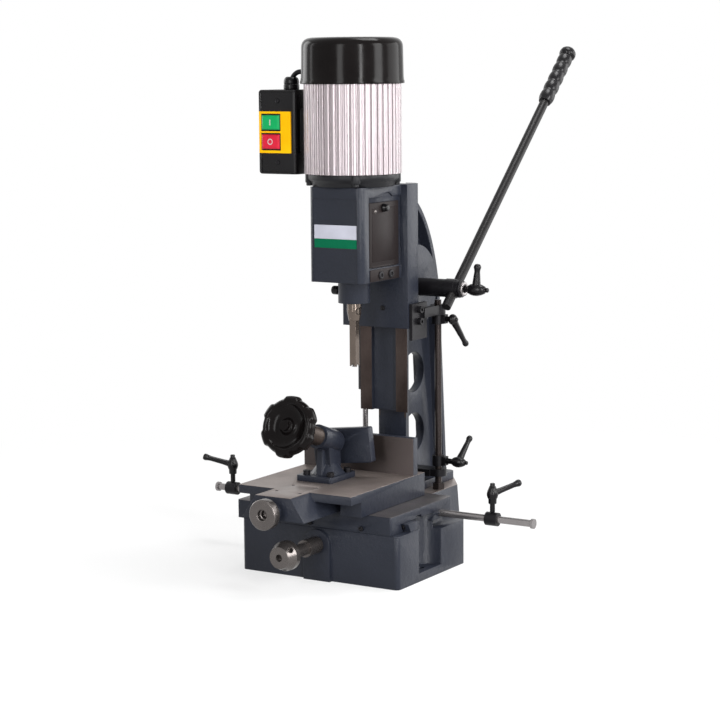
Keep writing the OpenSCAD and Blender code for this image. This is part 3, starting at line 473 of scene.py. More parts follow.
def make_finishes() -> dict[str, bpy.types.Material]:
    """Builds every finish of the machine.

    Returns:
        The materials by the names that the sub-assemblies use.
    """
    base_top, saddle_top, painted_shade_z, jaw_face = 0.0917, 0.0997, 0.1336, -0.0092
    kinds: list[Union[CastPaint, Metal, Moulded]] = [
        CastPaint("paint"),
        CastPaint("base paint", bare=lambda s: s.z.above(base_top), bare_grain=(12, 1, 12)),
        CastPaint("column paint", bare=bare_column, bare_grain=(12, 12, 1),
                  metal=(srgb("#241d1b"), srgb("#4f4440"))),
        CastPaint("saddle paint", bare=lambda s: s.z.above(saddle_top),
                  metal=(srgb("#34343a"), srgb("#5f5a5a"))),
        # The fence's bare face, above the table top, gets painted shade that darkens it
        CastPaint("table paint", bare=bare_table, bare_grain=(12, 1, 12),
                  painted_shade_mask=lambda s: s.z.above(painted_shade_z)),
        CastPaint("stand paint", bare=bare_bush, bare_grain=(12, 1, 12),
                  metal=(srgb("#1d1918"), srgb("#4b423d"))),
        CastPaint("head paint"),
        CastPaint("jaw paint", bare=lambda s: s.y.above(jaw_face)),
        CastPaint("flange black", srgb("#141417"), roughness=0.36),
        CastPaint("cover paint", srgb("#221d1d"), roughness=0.4, cast_depth=0.0002, specular=0.07),
        Metal("bright steel", srgb("#949090"), 0.22, 0.8),
        Metal("chisel steel", srgb("#756a62"), 0.2, 0.85, 0.45, grain=(1, 1, 0.05)),
        Metal("turned steel", srgb("#65605e"), 0.28, 0.8, 0.3, 0.00002),
        Metal("dark steel", srgb("#352f2e"), 0.28, 0.6, 0.3),
        Metal("blued steel", srgb("#121011"), 0.36, 0.2, 0.3, 0.000004),
        Metal("blackened steel", srgb("#1c1b1e"), 0.38, 0.4, 0.4),
        Metal("cast fins", srgb("#a1989b"), 0.28, 0.6, 0.1, 0.000006, (0.2, 0.2, 0.006)),
        Metal("bronze", srgb("#a8844a"), 0.3),
        Metal("windings", srgb("#7a3d22"), 0.5, grain=(1, 1, 14)),
        Moulded("black plastic", srgb("#0d0c0e"), 0.27, 0.000015, specular=0.2),
        Moulded("gloss black", srgb("#0d0a0a"), 0.15, 0.00001, specular=0.08),
        Moulded("green button", srgb("#0aa058"), 0.3, specular=0.2),
        Moulded("red button", srgb("#d0223a"), 0.3, specular=0.2),
        Moulded("yellow plate", srgb("#ffba08")),
        Moulded("white marks", srgb("#cfc8c6"), 0.5, specular=0.3),
        Moulded("white plate", srgb("#b6b7c3")),
        Moulded("green plate", srgb("#006040")),
    ]
    return {kind.name: kind.material() for kind in kinds}


# The finish of every solid
DRESS = {
    "paint": ["gear_cover", "access_cover", "motor_end_flange"],
    "stand paint": ["clamp_stand"],
    "base paint": ["base_casting"],
    "column paint": ["column_casting"],
    "saddle paint": ["saddle_casting"],
    "table paint": ["table_casting"],
    "head paint": ["head_casting"],
    "jaw paint": ["clamp_jaw"],
    "dark steel": ["depth_rod"],
    "blued steel": ["feed_lever"],
    "chisel steel": ["square_chisel", "chisel_bush"],
    "bright steel": ["strut_rod", "stop_rod", "auger_bit"],
    "turned steel": ["gear_shaft", "lift_gear", "saddle_feed_hub", "saddle_pinion_shaft",
                     "saddle_rack", "saddle_gib", "table_gib", "cross_feed_hub",
                     "cross_feed_screw", "jaw_socket", "lift_rack", "head_gib", "motor_rotor",
                     "auger_chuck"],
    "blackened steel": ["column_bolts", "rod_bracket", "lever_hub", "left_stop_collar",
                        "right_stop_collar", "depth_stop_collar", "clamp_stand_screws",
                        "head_gib_screws", "strut_cylinder", "strut_bracket", "head_lock_arm",
                        "head_lock_screws"],
    "black plastic": ["lever_grip", "hub_clamp_lever", "depth_stop_lever", "left_stop_lever",
                      "right_stop_lever", "head_lock_lever", "chisel_thumb_screw", "switch_box",
                      "motor_cable"],
    "gloss black": ["motor_cap", "clamp_handwheel", "clamp_screw"],
    "cast fins": ["motor_body"],
    "bronze": ["cross_nut"],
    "windings": ["motor_stator"],
    "green button": ["start_button"],
    "red button": ["stop_button"],
}

# The record's material slot of a dressed piece, by its finish; painted castings aren't listed
SLOTS = {
    "black plastic": "black_plastic",
    "gloss black": "black_plastic",
    "yellow plate": "black_plastic",
    "white plate": "black_plastic",
    "green plate": "black_plastic",
    "green button": "green_plastic",
    "red button": "red_plastic",
    "blackened steel": "black_steel",
    "turned steel": "steel",
    "bright steel": "steel",
    "cast fins": "aluminium",
}


# Modelling


@dataclass(frozen=True)
class Edge:
    """How a piece is rounded and shaded.

    The rounding is width millimetres wide in a number of steps, on edges sharper than sharp
    degrees. Edges flatter than smooth degrees are shaded smooth.
    """

    width: float = 0.0
    steps: int = 2
    sharp: float = 32.0
    smooth: float = 40.0


PLAIN = Edge()


def metres(point: Sequence[float]) -> Point:
    """A point or a push given in millimetres, in metres."""
    x, y, z = point
    return (x * MM, y * MM, z * MM)


def rect_xz(x0: float, x1: float, z0: float, z1: float, y: float) -> list[Point]:
    """The corners of an upright rectangle facing the user."""
    return [(x0, y, z0), (x1, y, z0), (x1, y, z1), (x0, y, z1)]


def rect_yz(y0: float, y1: float, z0: float, z1: float, x: float) -> list[Point]:
    """The corners of an upright rectangle facing right."""
    return [(x, y0, z0), (x, y1, z0), (x, y1, z1), (x, y0, z1)]


def rounded_xz(x0: float, x1: float, z0: float, z1: float, y: float, radius: float) -> list[Point]:
    """Works out an upright rectangle facing the user, with each corner an arc of five steps.

    Args:
        x0: its left side.
        x1: its right side.
        z0: its bottom.
        z1: its top.
        y: where it stands.
        radius: the radius of its corners.

    Returns:
        The outline.
    """
    middles = ((x0 + radius, z0 + radius, 180), (x1 - radius, z0 + radius, 270),
               (x1 - radius, z1 - radius, 0), (x0 + radius, z1 - radius, 90))
    points = []
    for x, z, start in middles:
        for step in range(6):
            turn = math.radians(start + step * 18)
            points.append((x + radius * math.cos(turn), y, z + radius * math.sin(turn)))
    return points


def tube(inner: float, outer: float, start: float, end: float) -> Profile:
    """The closed lathe profile of a plain ring."""
    return [(inner, start), (outer, start), (outer, end), (inner, end), (inner, start)]


class Shop:
    """Modelling steps that finished pieces are made with."""

    @staticmethod
    def clear() -> None:
        """Deselects everything."""
        if bpy.context.object and bpy.context.object.mode != "OBJECT":
            bpy.ops.object.mode_set(mode="OBJECT")
        bpy.ops.object.select_all(action="DESELECT")

    @staticmethod
    def pick(obj: bpy.types.Object) -> None:
        """Selects one object alone and opens all of its mesh in edit mode.

        Args:
            obj: the object.
        """
        Shop.clear()
        obj.select_set(True)
        bpy.context.view_layer.objects.active = obj
        bpy.ops.object.mode_set(mode="EDIT")
        bpy.ops.mesh.select_all(action="SELECT")

    @staticmethod
    def chain(points: Sequence[Point], closed: bool = False) -> bpy.types.Object:
        """Extrudes one vertex along points.

        Args:
            points: the places of the chain's vertices, in metres.
            closed: whether the last is joined to the first and the loop is filled.

        Returns:
            The object, in edit mode, with everything selected.
        """
        Shop.clear()
        bpy.ops.mesh.primitive_plane_add(size=MM, location=(0, 0, 0))
        obj = bpy.context.object
        bpy.ops.object.mode_set(mode="EDIT")
        bpy.ops.mesh.select_all(action="SELECT")
        bpy.ops.mesh.merge(type="CENTER")
        bpy.ops.transform.translate(value=points[0])
        for a, b in zip(points, points[1:]):
            bpy.ops.mesh.extrude_region_move(TRANSFORM_OT_translate={"value": Vector(b) - Vector(a)})
        bpy.ops.mesh.select_all(action="SELECT")
        if closed:
            bpy.ops.mesh.edge_face_add()
        return obj

    @staticmethod
    def finish(obj: bpy.types.Object, name: str, edge: Edge = PLAIN,
               normals: bool = True) -> bpy.types.Object:
        """Merges doubles, turns faces outwards, rounds the edges and shades the piece.

        Args:
            obj: the piece.
            name: its name.
            edge: its rounding and shading.
            normals: whether the faces are turned outwards.

        Returns:
            The piece.
        """
        Shop.pick(obj)
        obj.name = obj.data.name = name
        bpy.ops.mesh.remove_doubles(threshold=PIECE_MERGE)
        if normals:
            bpy.ops.mesh.normals_make_consistent(inside=False)
        bpy.ops.object.mode_set(mode="OBJECT")
        bpy.ops.object.transform_apply(location=True, rotation=True, scale=True)
        if edge.width:
            mod = obj.modifiers.new("edges", "BEVEL")
            mod.width = edge.width * MM
            mod.segments = edge.steps
            mod.limit_method = "ANGLE"
            mod.angle_limit = math.radians(edge.sharp)
            mod.use_clamp_overlap = True
            bpy.ops.object.modifier_apply(modifier=mod.name)
        bpy.ops.object.shade_smooth_by_angle(angle=math.radians(edge.smooth))
        return obj

    @staticmethod
    def lathe(profile: Profile, centre: Point, axis: "Way | Vector", steps: int) -> bpy.types.Object:
        """Turns a profile round an axis.

        Args:
            profile: radius and distance along the axis, from one end to the other.
            centre: a point on the axis, from which the distances count.
            axis: the axis' direction.
            steps: faces round the axis.

        Returns:
            The object, in object mode, not yet finished.
        """
        out = (axis.value if isinstance(axis, Way) else axis).normalized()
        side = out.orthogonal().normalized()
        origin = Vector(metres(centre))
        obj = Shop.chain([tuple(origin + side * (r * MM) + out * (d * MM)) for r, d in profile])
        bpy.ops.mesh.spin(steps=steps, angle=math.tau, center=tuple(origin), axis=tuple(out),
                          use_auto_merge=True)
        bpy.ops.mesh.select_all(action="SELECT")
        bpy.ops.mesh.remove_doubles(threshold=PIECE_MERGE)
        bpy.ops.object.mode_set(mode="OBJECT")
        return obj

    @staticmethod
    def turn(name: str, profile: Profile, centre: Point, axis: "Way | Vector", steps: int,
             edge: Edge = PLAIN) -> bpy.types.Object:
        """Turns a profile as lathe does, and finishes the piece under its name."""
        return Shop.finish(Shop.lathe(profile, centre, axis, steps), name, edge)

    @staticmethod
    def prism(name: str, outline: Sequence[Point], push: Point, edge: Edge = PLAIN,
              taper: float = 1.0) -> bpy.types.Object:
        """Fills an outline and extrudes it.

        Args:
            name: the piece's name.
            outline: the corners, in order.
            push: the extrusion.
            edge: its rounding and shading.
            taper: scale of the far end about its own middle.

        Returns:
            The finished piece.
        """
        corners = [metres(point) for point in outline]
        obj = Shop.chain(corners, closed=True)
        bpy.ops.mesh.extrude_region_move(TRANSFORM_OT_translate={"value": metres(push)})
        if taper != 1.0:
            middle = sum((Vector(p) for p in corners), Vector()) / len(corners) + Vector(metres(push))
            bpy.ops.transform.resize(value=(taper,) * 3, center_override=tuple(middle))
        bpy.ops.object.mode_set(mode="OBJECT")
        return Shop.finish(obj, name, edge)

    @staticmethod
    def band(name: str, outline: Sequence[Point], width: float, push: Point,
             edge: Edge) -> bpy.types.Object:
        """Models a frame: an outline with its middle taken out, extruded.

        Args:
            name: the piece's name.
            outline: the outer corners, in order.
            width: the frame's width.
            push: the extrusion.
            edge: its rounding and shading.

        Returns:
            The finished piece.
        """
        obj = Shop.chain([metres(point) for point in outline], closed=True)
        bpy.ops.mesh.inset(thickness=width * MM, depth=0)
        bpy.ops.mesh.delete(type="FACE")
        bpy.ops.mesh.select_all(action="SELECT")
        bpy.ops.mesh.extrude_region_move(TRANSFORM_OT_translate={"value": metres(push)})
        bpy.ops.object.mode_set(mode="OBJECT")
        return Shop.finish(obj, name, edge)

    @staticmethod
    def from_solid(node: str, name: str, edge: Edge) -> bpy.types.Object:
        """Copies a CAD node's mesh, merges it and rounds its edges.

        Args:
            node: the CAD node.
            name: the piece's name.
            edge: its rounding and shading.

        Returns:
            The finished piece, at the origin.
        """
        obj = bpy.data.objects.new(name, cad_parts[node].data.copy())
        bpy.context.scene.collection.objects.link(obj)
        Shop.pick(obj)
        bpy.ops.mesh.remove_doubles(threshold=SOLID_MERGE)
        bpy.ops.mesh.dissolve_limited(angle_limit=SOLID_FLAT)
        return Shop.finish(obj, name, edge, normals=False)

    @staticmethod
    def join(name: str, first: bpy.types.Object, *others: bpy.types.Object) -> bpy.types.Object:
        """Joins pieces.

        Args:
            name: the name of the whole.
            first: the piece that takes up the others.
            others: the other pieces.

        Returns:
            The whole.
        """
        Shop.clear()
        for obj in (first, *others):
            obj.select_set(True)
        bpy.context.view_layer.objects.active = first
        bpy.ops.object.join()
        first.name = first.data.name = name
        return first

    @staticmethod
    def ring(obj: bpy.types.Object, count: int) -> list[bpy.types.Object]:
        """Copies a piece evenly round the spindle axis, each copy with its own mesh.

        Args:
            obj: the piece.
            count: how many there are with the first.

        Returns:
            The piece and its copies.
        """
        pieces = [obj]
        for i in range(1, count):
            twin = bpy.data.objects.new(obj.name, obj.data.copy())
            bpy.context.scene.collection.objects.link(twin)
            twin.data.transform(Matrix.Rotation(math.tau * i / count, 4, Way.UP.value))
            pieces.append(twin)
        return pieces

    @staticmethod
    def press(obj: bpy.types.Object, centre: Point, side: Vector, up: Vector,
              scale: Callable[[float, float], float]) -> None:
        """Scales a piece's distance from an axis, place by place.

        Args:
            obj: the piece.
            centre: a point on the axis.
            side: the direction across the axis from which angles count.
            up: the direction across the axis at a right angle to side.
            scale: the factor for an angle in radians and a distance from the axis.
        """
        origin = Vector(metres(centre))
        for vertex in obj.data.vertices:
            spoke = vertex.co - origin
            across, along = spoke.dot(side), spoke.dot(up)
            factor = scale(math.atan2(along, across), math.hypot(across, along) / MM)
            vertex.co += (side * across + up * along) * (factor - 1)


@dataclass
class SubAssembly:
    """A group of pieces and CAD nodes that one class models and dresses."""

    finishes: dict[str, bpy.types.Material]

    def place(self, obj: bpy.types.Object, body: str, finish: str, replaces: Sequence[str] = (),
              slot: str = "") -> None:
        """Gives a finished piece its material and its body.

        Args:
            obj: the piece.
            body: the CAD body that it rides on.
            finish: a key of finishes.
            replaces: CAD nodes that it stands for.
            slot: the record's material slot, where it isn't the finish's own; not used.
        """
        obj.data.materials.clear()
        obj.data.materials.append(self.finishes[finish])
        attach(obj, body)
        if replaces:
            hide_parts(*replaces)
        LOG.info("%s on %s: %d faces", obj.name, body, len(obj.data.polygons))

    def dress(self, node: str, finish: str) -> None:
        """Gives a CAD node its material.

        Args:
            node: the CAD node.
            finish: a key of finishes.
        """
        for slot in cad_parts[node].material_slots:
            slot.material = self.finishes[finish]
        LOG.info("%s dressed as %s", node, finish)


# The motor and the switch


@dataclass
class Motor(SubAssembly):
    """The motor: finned body, cap and end flange with its lugs and bolts."""

    seat_z: float = 542.0
    body_z: float = 559.5
    cap_z: float = 683.5
    fin_count: int = 44
    fin_root: float = 65.0
    fin_tip: float = 68.0
    bore: float = 58.5
    rib_count: int = 24
    rib_z: float = 62.2
    lug_count: int = 4
    lug_turn: float = 35.0
    shaft_bore: float = 8.1

    def fins(self) -> None:
        """Models the finned body from one flat-topped fin."""
        height, tip = self.cap_z - self.body_z, self.fin_tip
        half = [(self.fin_root, 3.9), (tip - 1.6, 3.7), (tip - 0.5, 3.4), (tip - 0.1, 2.9)]
        outline = [(r, -w, self.body_z) for r, w in half] + [(r, w, self.body_z) for r, w in half[::-1]]
        fin = Shop.prism("motor_fin", outline, (0, 0, height), Edge(0.4, 1, 60))
        wall = Shop.turn("motor_wall", tube(self.bore, self.fin_root + 0.6, 0, height),
                         (0, 0, self.body_z), Way.UP, 88)
        body = Shop.join("motor_body_fins", wall, *Shop.ring(fin, self.fin_count))
        self.place(body, "head", "cast fins", ["motor_body"])

    def cap(self) -> None:
        """Turns the cap, with its flared rim, and sets vent ribs in its top."""
        centre = (0, 0, self.cap_z)
        profile = [(0, 62.6), (40, 62.4), (41, 63.6), (57, 63.2), (62.4, 62.2), (66.4, 60), (69, 56.8),
                   (70.3, 53), (70.6, 49), (70.9, 30), (71.3, 10), (71.8, 5), (72.5, 3.2), (72.5, 0.4),
                   (72.1, 0), (69.4, 0), (69.4, 46), (60, 56), (0, 58)]
        cap = Shop.turn("motor_cap_shell", profile, centre, Way.UP, 96, Edge(0.5, 2, 38, 30))
        self.place(cap, "head", "gloss black", ["motor_cap"])
        top = self.cap_z + self.rib_z
        outline = [(9, -1.1, top), (39, -1.1, top), (39, 1.1, top), (9, 1.1, top)]
        rib = Shop.prism("cap_rib", outline, (0, 0, 1.5), Edge(0.4))
        hub = Shop.turn("cap_hub", [(0, 63.6), (9.4, 63.6), (10, 63), (10, 61.5), (0, 61.5)], centre,
                        Way.UP, 32, Edge(0.3))
        grille = Shop.join("motor_cap_grille", *Shop.ring(rib, self.rib_count), hub)
        self.place(grille, "head", "gloss black")

    def flange(self) -> None:
        """Models the end flange's neck, its lugs and their bolts."""
        centre, bore = (0, 0, self.seat_z), self.shaft_bore
        profile = [(20, 0), (56.8, 0), (57.6, 1), (58.6, 4), (60.2, 7.4), (62.6, 9.2), (63.4, 11),
                   (63.6, 17.5), (36, 17.5), (36, 10), (20, 10), (20, 0)]
        neck = Shop.turn("motor_neck", profile, centre, Way.UP, 96, Edge(0.6, 2, 38))
        corners = [(56, -7.5), (62, -6.8), (65.6, -4.2), (66.8, 0), (65.6, 4.2), (62, 6.8), (56, 7.5)]
        lug = Shop.prism("motor_lug", [(x, y, self.seat_z + 5) for x, y in corners], (0, 0, 12.4),
                         Edge(0.8, 2, 38))
        bolt = Shop.turn("lug_bolt", [(0, -3.2), (3.8, -3.2), (4.5, -2.6), (4.5, 2), (0, 2)],
                         (61, 0, self.seat_z + 4), Way.UP, 20, Edge(0.3))
        spigot = Shop.turn("spigot", tube(bore, 26.6, -10, 0.5), centre, Way.UP, 48, Edge(0.4))
        web = Shop.turn("bearing_web", tube(bore, 21, 0, 9.9), centre, Way.UP, 48)
        whole = Shop.join("motor_flange_lugs", neck, spigot, web, *Shop.ring(lug, self.lug_count),
                          *Shop.ring(bolt, self.lug_count))
        whole.data.transform(Matrix.Rotation(math.radians(self.lug_turn), 4, Way.UP.value))
        self.place(whole, "head", "flange black", ["motor_end_flange"])

    def build(self) -> None:
        """Models the motor."""
        self.fins()
        self.cap()
        self.flange()


@dataclass
class Switch(SubAssembly):
    """The switch box with its lid, plate, bezels, buttons, screws and cable gland."""

    x0: float = -140.0
    x1: float = -78.0
    z0: float = 557.0
    z1: float = 675.0
    front: float = -25.0
    lid_inset: float = 0.2
    lid_radius: float = 4.0
    plate: tuple[float, float, float, float] = (-138.9, -86.0, 586.5, 644.8)
    window_w: float = 15.4
    window_h: float = 11.6
    button_x: float = -118.5
    button_w: float = 15.0
    button_h: float = 10.25
    button_y: float = -15.3
    start_z: float = 629.5
    stop_z: float = 602.5
    gland_x: float = -101.0

    def box(self) -> None:
        """Rounds the box and adds the lid's frame with its two screws."""
        body = Shop.from_solid("switch_box", "switch_box_shell", Edge(2.0, 3, 40, 35))
        self.place(body, "head", "black plastic", ["switch_box"])
        gap = self.lid_inset
        outline = rounded_xz(self.x0 + gap, self.x1 - gap, self.z0 + gap, self.z1 - gap,
                             self.front - 1.6, self.lid_radius)
        lid = Shop.band("switch_lid_frame", outline, 3.0, (0, 2.6, 0), Edge(1.3, 3))
        self.place(lid, "head", "black plastic")
        profile = [(0, 0.9), (2.0, 0.9), (2.5, 1.5), (2.9, 1.5), (3.4, 0.7), (3.4, -0.5), (0, -0.5)]
        for name, z in (("top", self.z1 - 15.5), ("bottom", self.z0 + 16.5)):
            screw = Shop.turn(f"switch_screw_{name}", profile, ((self.x0 + self.x1) / 2, self.front, z),
                              Way.FRONT, 24, Edge(0.2))
            self.place(screw, "head", "blackened steel")

    def gland(self) -> None:
        """Turns the domed cap of the cable gland on top of the box."""
        profile = [(0, 0.2), (10.6, 0.2), (11.2, 0.9), (11.2, 6.8), (10.5, 7.4), (10.5, 8.2), (11, 8.8),
                   (10.8, 12.4), (10.2, 14.6), (8.8, 16.8), (6.6, 18), (0, 18)]
        dome = Shop.turn("gland_dome", profile, (self.gland_x, 0, self.z1), Way.UP, 36, Edge(0.3))
        self.place(dome, "head", "black plastic")

    def panel(self) -> None:
        """Models the yellow plate and the dark bezels round the buttons."""
        x0, x1, z0, z1 = self.plate
        left, right = self.button_x - self.window_w, self.button_x + self.window_w
        high = self.window_h
        gaps = [(z0, self.stop_z - high), (self.stop_z + high, self.start_z - high),
                (self.start_z + high, z1)]
        strips = [(x0, left, z0, z1), (right, x1, z0, z1)]
        strips += [(left - 0.01, right + 0.01, a, b) for a, b in gaps]
        parts = [Shop.prism("plate_strip", rect_xz(*strip, self.front + 0.2), (0, -2.2, 0))
                 for strip in strips]
        plate = Shop.finish(Shop.join("plate", *parts), "switch_plate_yellow")
        self.place(plate, "head", "yellow plate")
        for name, z in (("start", self.start_z), ("stop", self.stop_z)):
            outline = rect_xz(left - 0.6, right + 0.6, z - high - 0.6, z + high + 0.6, self.front - 3.0)
            bezel = Shop.band(f"{name}_bezel", outline, 1.3, (0, 3.2, 0), Edge(0.4))
            self.place(bezel, "head", "black plastic")

    def button(self, name: str, z: float, finish: str) -> None:
        """Models one push button with its sign.

        Args:
            name: start or stop.
            z: height of its middle.
            finish: its colour.
        """
        x, w, h, y, travel = self.button_x, self.button_w, self.button_h, self.button_y, 13.2
        stem = Shop.prism("stem", rect_xz(x - w, x + w, z - h, z + h, y), (0, -travel, 0), Edge(0.6))
        w, h = w - 0.3, h - 0.3
        face = Shop.prism("face", rect_xz(x - w, x + w, z - h, z + h, y - travel), (0, -1.5, 0),
                          Edge(0.4, 2, 20), 0.84)
        whole = Shop.finish(Shop.join("button", stem, face), f"{name}_button_cap", normals=False)
        self.place(whole, name, finish, [f"{name}_button"])
        sign, sign_y = f"{name}_sign", y - travel - 1.4
        if name == "start":
            mark = Shop.prism(sign, rect_xz(x - 0.7, x + 0.7, z - 4, z + 4, sign_y), (0, -0.25, 0))
        else:
            mark = Shop.turn(sign, tube(3.1, 4.3, 0, 0.25), (x, sign_y, z), Way.FRONT, 32)
        self.place(mark, name, "white marks", slot=SLOTS[finish])

    def build(self) -> None:
        """Models the switch."""
        self.box()
        self.gland()
        self.panel()
        self.button("start", self.start_z, "green button")
        self.button("stop", self.stop_z, "red button")


# The head


@dataclass
class Head(SubAssembly):
    """The head's label plate, hinged cover, cover strip and small fasteners."""

    side: float = 43.5
    front: float = -48.5
    label_x: tuple[float, float] = (-33.9, 34.9)
    label_z: tuple[float, float, float] = (458.3, 470.9, 490.1)
    cover_y: tuple[float, float] = (-29.0, 50.0)
    cover_z: tuple[float, float] = (430.2, 520.2)
    strip_z: tuple[float, float] = (410.6, 427.6)

    def label(self) -> None:
        """Models the bare two-colour plate on the front."""
        bottom, middle, top = self.label_z
        for name, z0, z1, finish in (("upper", middle, top, "white plate"),
                                     ("lower", bottom, middle, "green plate")):
            outline = rect_xz(*self.label_x, z0, z1, self.front)
            plate = Shop.prism(f"label_plate_{name}", outline, (0, -0.6, 0), Edge(0.1, 1))
            self.place(plate, "head", finish)

    def cover(self) -> None:
        """Models the hinged cover with its raised face, knuckle, rivet and catch."""
        x = self.side - 1.7
        sheet = Shop.prism("cover_sheet", rect_yz(*self.cover_y, *self.cover_z, x), (2.0, 0, 0),
                           Edge(0.8, 3))
        face = Shop.prism("cover_face", rect_yz(-22, 43, 438, 512, x + 1.9), (0.5, 0, 0), Edge(0.4))
        rivet = Shop.turn("cover_rivet", [(0, 2.2), (1.6, 2.0), (2.8, 1.2), (3.2, 0), (0, -0.5)],
                          (x + 2, -14, 508), Way.RIGHT, 24)
        profile = [(0, 8.6), (3.4, 8.6), (4.6, 7.6), (4.6, 5), (5.6, 3.4), (6, 0), (0, -0.5)]
        catch = Shop.turn("cover_catch", profile, (x + 2, 8, 512), Way.RIGHT, 28, Edge(0.3))
        knuckle = Shop.turn("cover_knuckle", [(0, 0), (1.2, 0), (1.2, 66), (0, 66)],
                            (x + 1.0, -22, 430.8), Way.BACK, 16, Edge(0.2))
        whole = Shop.join("cover_panel", sheet, face, knuckle)
        self.place(whole, "cover", "cover paint", ["access_cover"])
        self.place(rivet, "cover", "turned steel")
        self.place(catch, "cover", "black plastic")

    def strip(self) -> None:
        """Models the strip under the cover with its two screws."""
        bottom, top = self.strip_z
        strip = Shop.prism("cover_strip", rect_yz(*self.cover_y, bottom, top, self.side - 0.1),
                           (1.3, 0, 0), Edge(0.6))
        self.place(strip, "head", "cover paint")
        profile = [(0, 0.6), (2.4, 0.6), (2.8, 2.5), (4.6, 2.5), (5.9, 1.5), (6.0, 0), (0, 0)]
        for i, y in enumerate((-1.5, 25.8)):
            screw = Shop.turn(f"strip_screw_{i}", profile, (self.side + 1.1, y, bottom + 8), Way.RIGHT,
                              24, Edge(0.2))
            self.place(screw, "head", "blackened steel")

    def build(self) -> None:
        """Models the head's pieces."""
        self.label()
        self.cover()
        self.strip()


# The hand levers


class Handle(Enum):
    """The two sizes of adjustable clamping lever."""

    SMALL = 0.86
    LARGE = 1.0


@dataclass
class ClampLever:
    """An adjustable clamping lever: a turned hub that points right, and a rounded handle.

    The hub starts at centre. The handle stands turn degrees from upright towards the back, and
    leans out by lean degrees.
    """

    name: str
    centre: Point
    turn: float
    hub_len: float
    arm_len: float
    lean: float
    size: Handle
    stud: float = 0.0

    def model(self) -> bpy.types.Object:
        """Models the lever.

        Returns:
            The finished piece.
        """
        k, end, stud = self.size.value, self.arm_len, self.stud
        lens = [(0.0, 0.0), (4.6, 0.0), (4.9, 0.02), (4.6, 0.24), (5.6, 0.28), (7.8, 0.37), (9.0, 0.49),
                (9.0, 0.6), (7.7, 0.74), (5.4, 0.86), (3.7, 0.885), (3.1, 0.9), (3.4, 0.92),
                (3.4, 0.98), (2.6, 1.0), (0.0, 1.0)]
        parts = [Shop.turn("hub", [(r * k, share * self.hub_len) for r, share in lens], self.centre,
                           Way.RIGHT, 36, Edge(0.3, 2, 40))]
        turn, lean = math.radians(self.turn), math.radians(self.lean)
        x, y, z = self.centre
        root = (x + self.hub_len * 0.56, y, z)
        way = Vector((math.sin(lean), math.sin(turn) * math.cos(lean), math.cos(turn) * math.cos(lean)))
        profile = [(0, 1), (6.3 * k, 1.5), (6.1 * k, 8), (5.4 * k, 14), (4.8 * k, end * 0.6),
                   (4.1 * k, end - 8), (4.5 * k, end - 5), (5.4 * k, end - 2), (5.0 * k, end + 0.6),
                   (3.4 * k, end + 2.6), (0, end + 3.4)]
        parts.append(Shop.turn("arm", profile, root, way, 24, Edge(smooth=60)))
        if stud:
            profile = [(0, -stud), (2.6, -stud), (2.95, -stud + 0.4), (2.95, 0.5), (0, 0.5)]
            parts.append(Shop.turn("stud", profile, self.centre, Way.RIGHT, 20))
        return Shop.join(self.name, *parts)


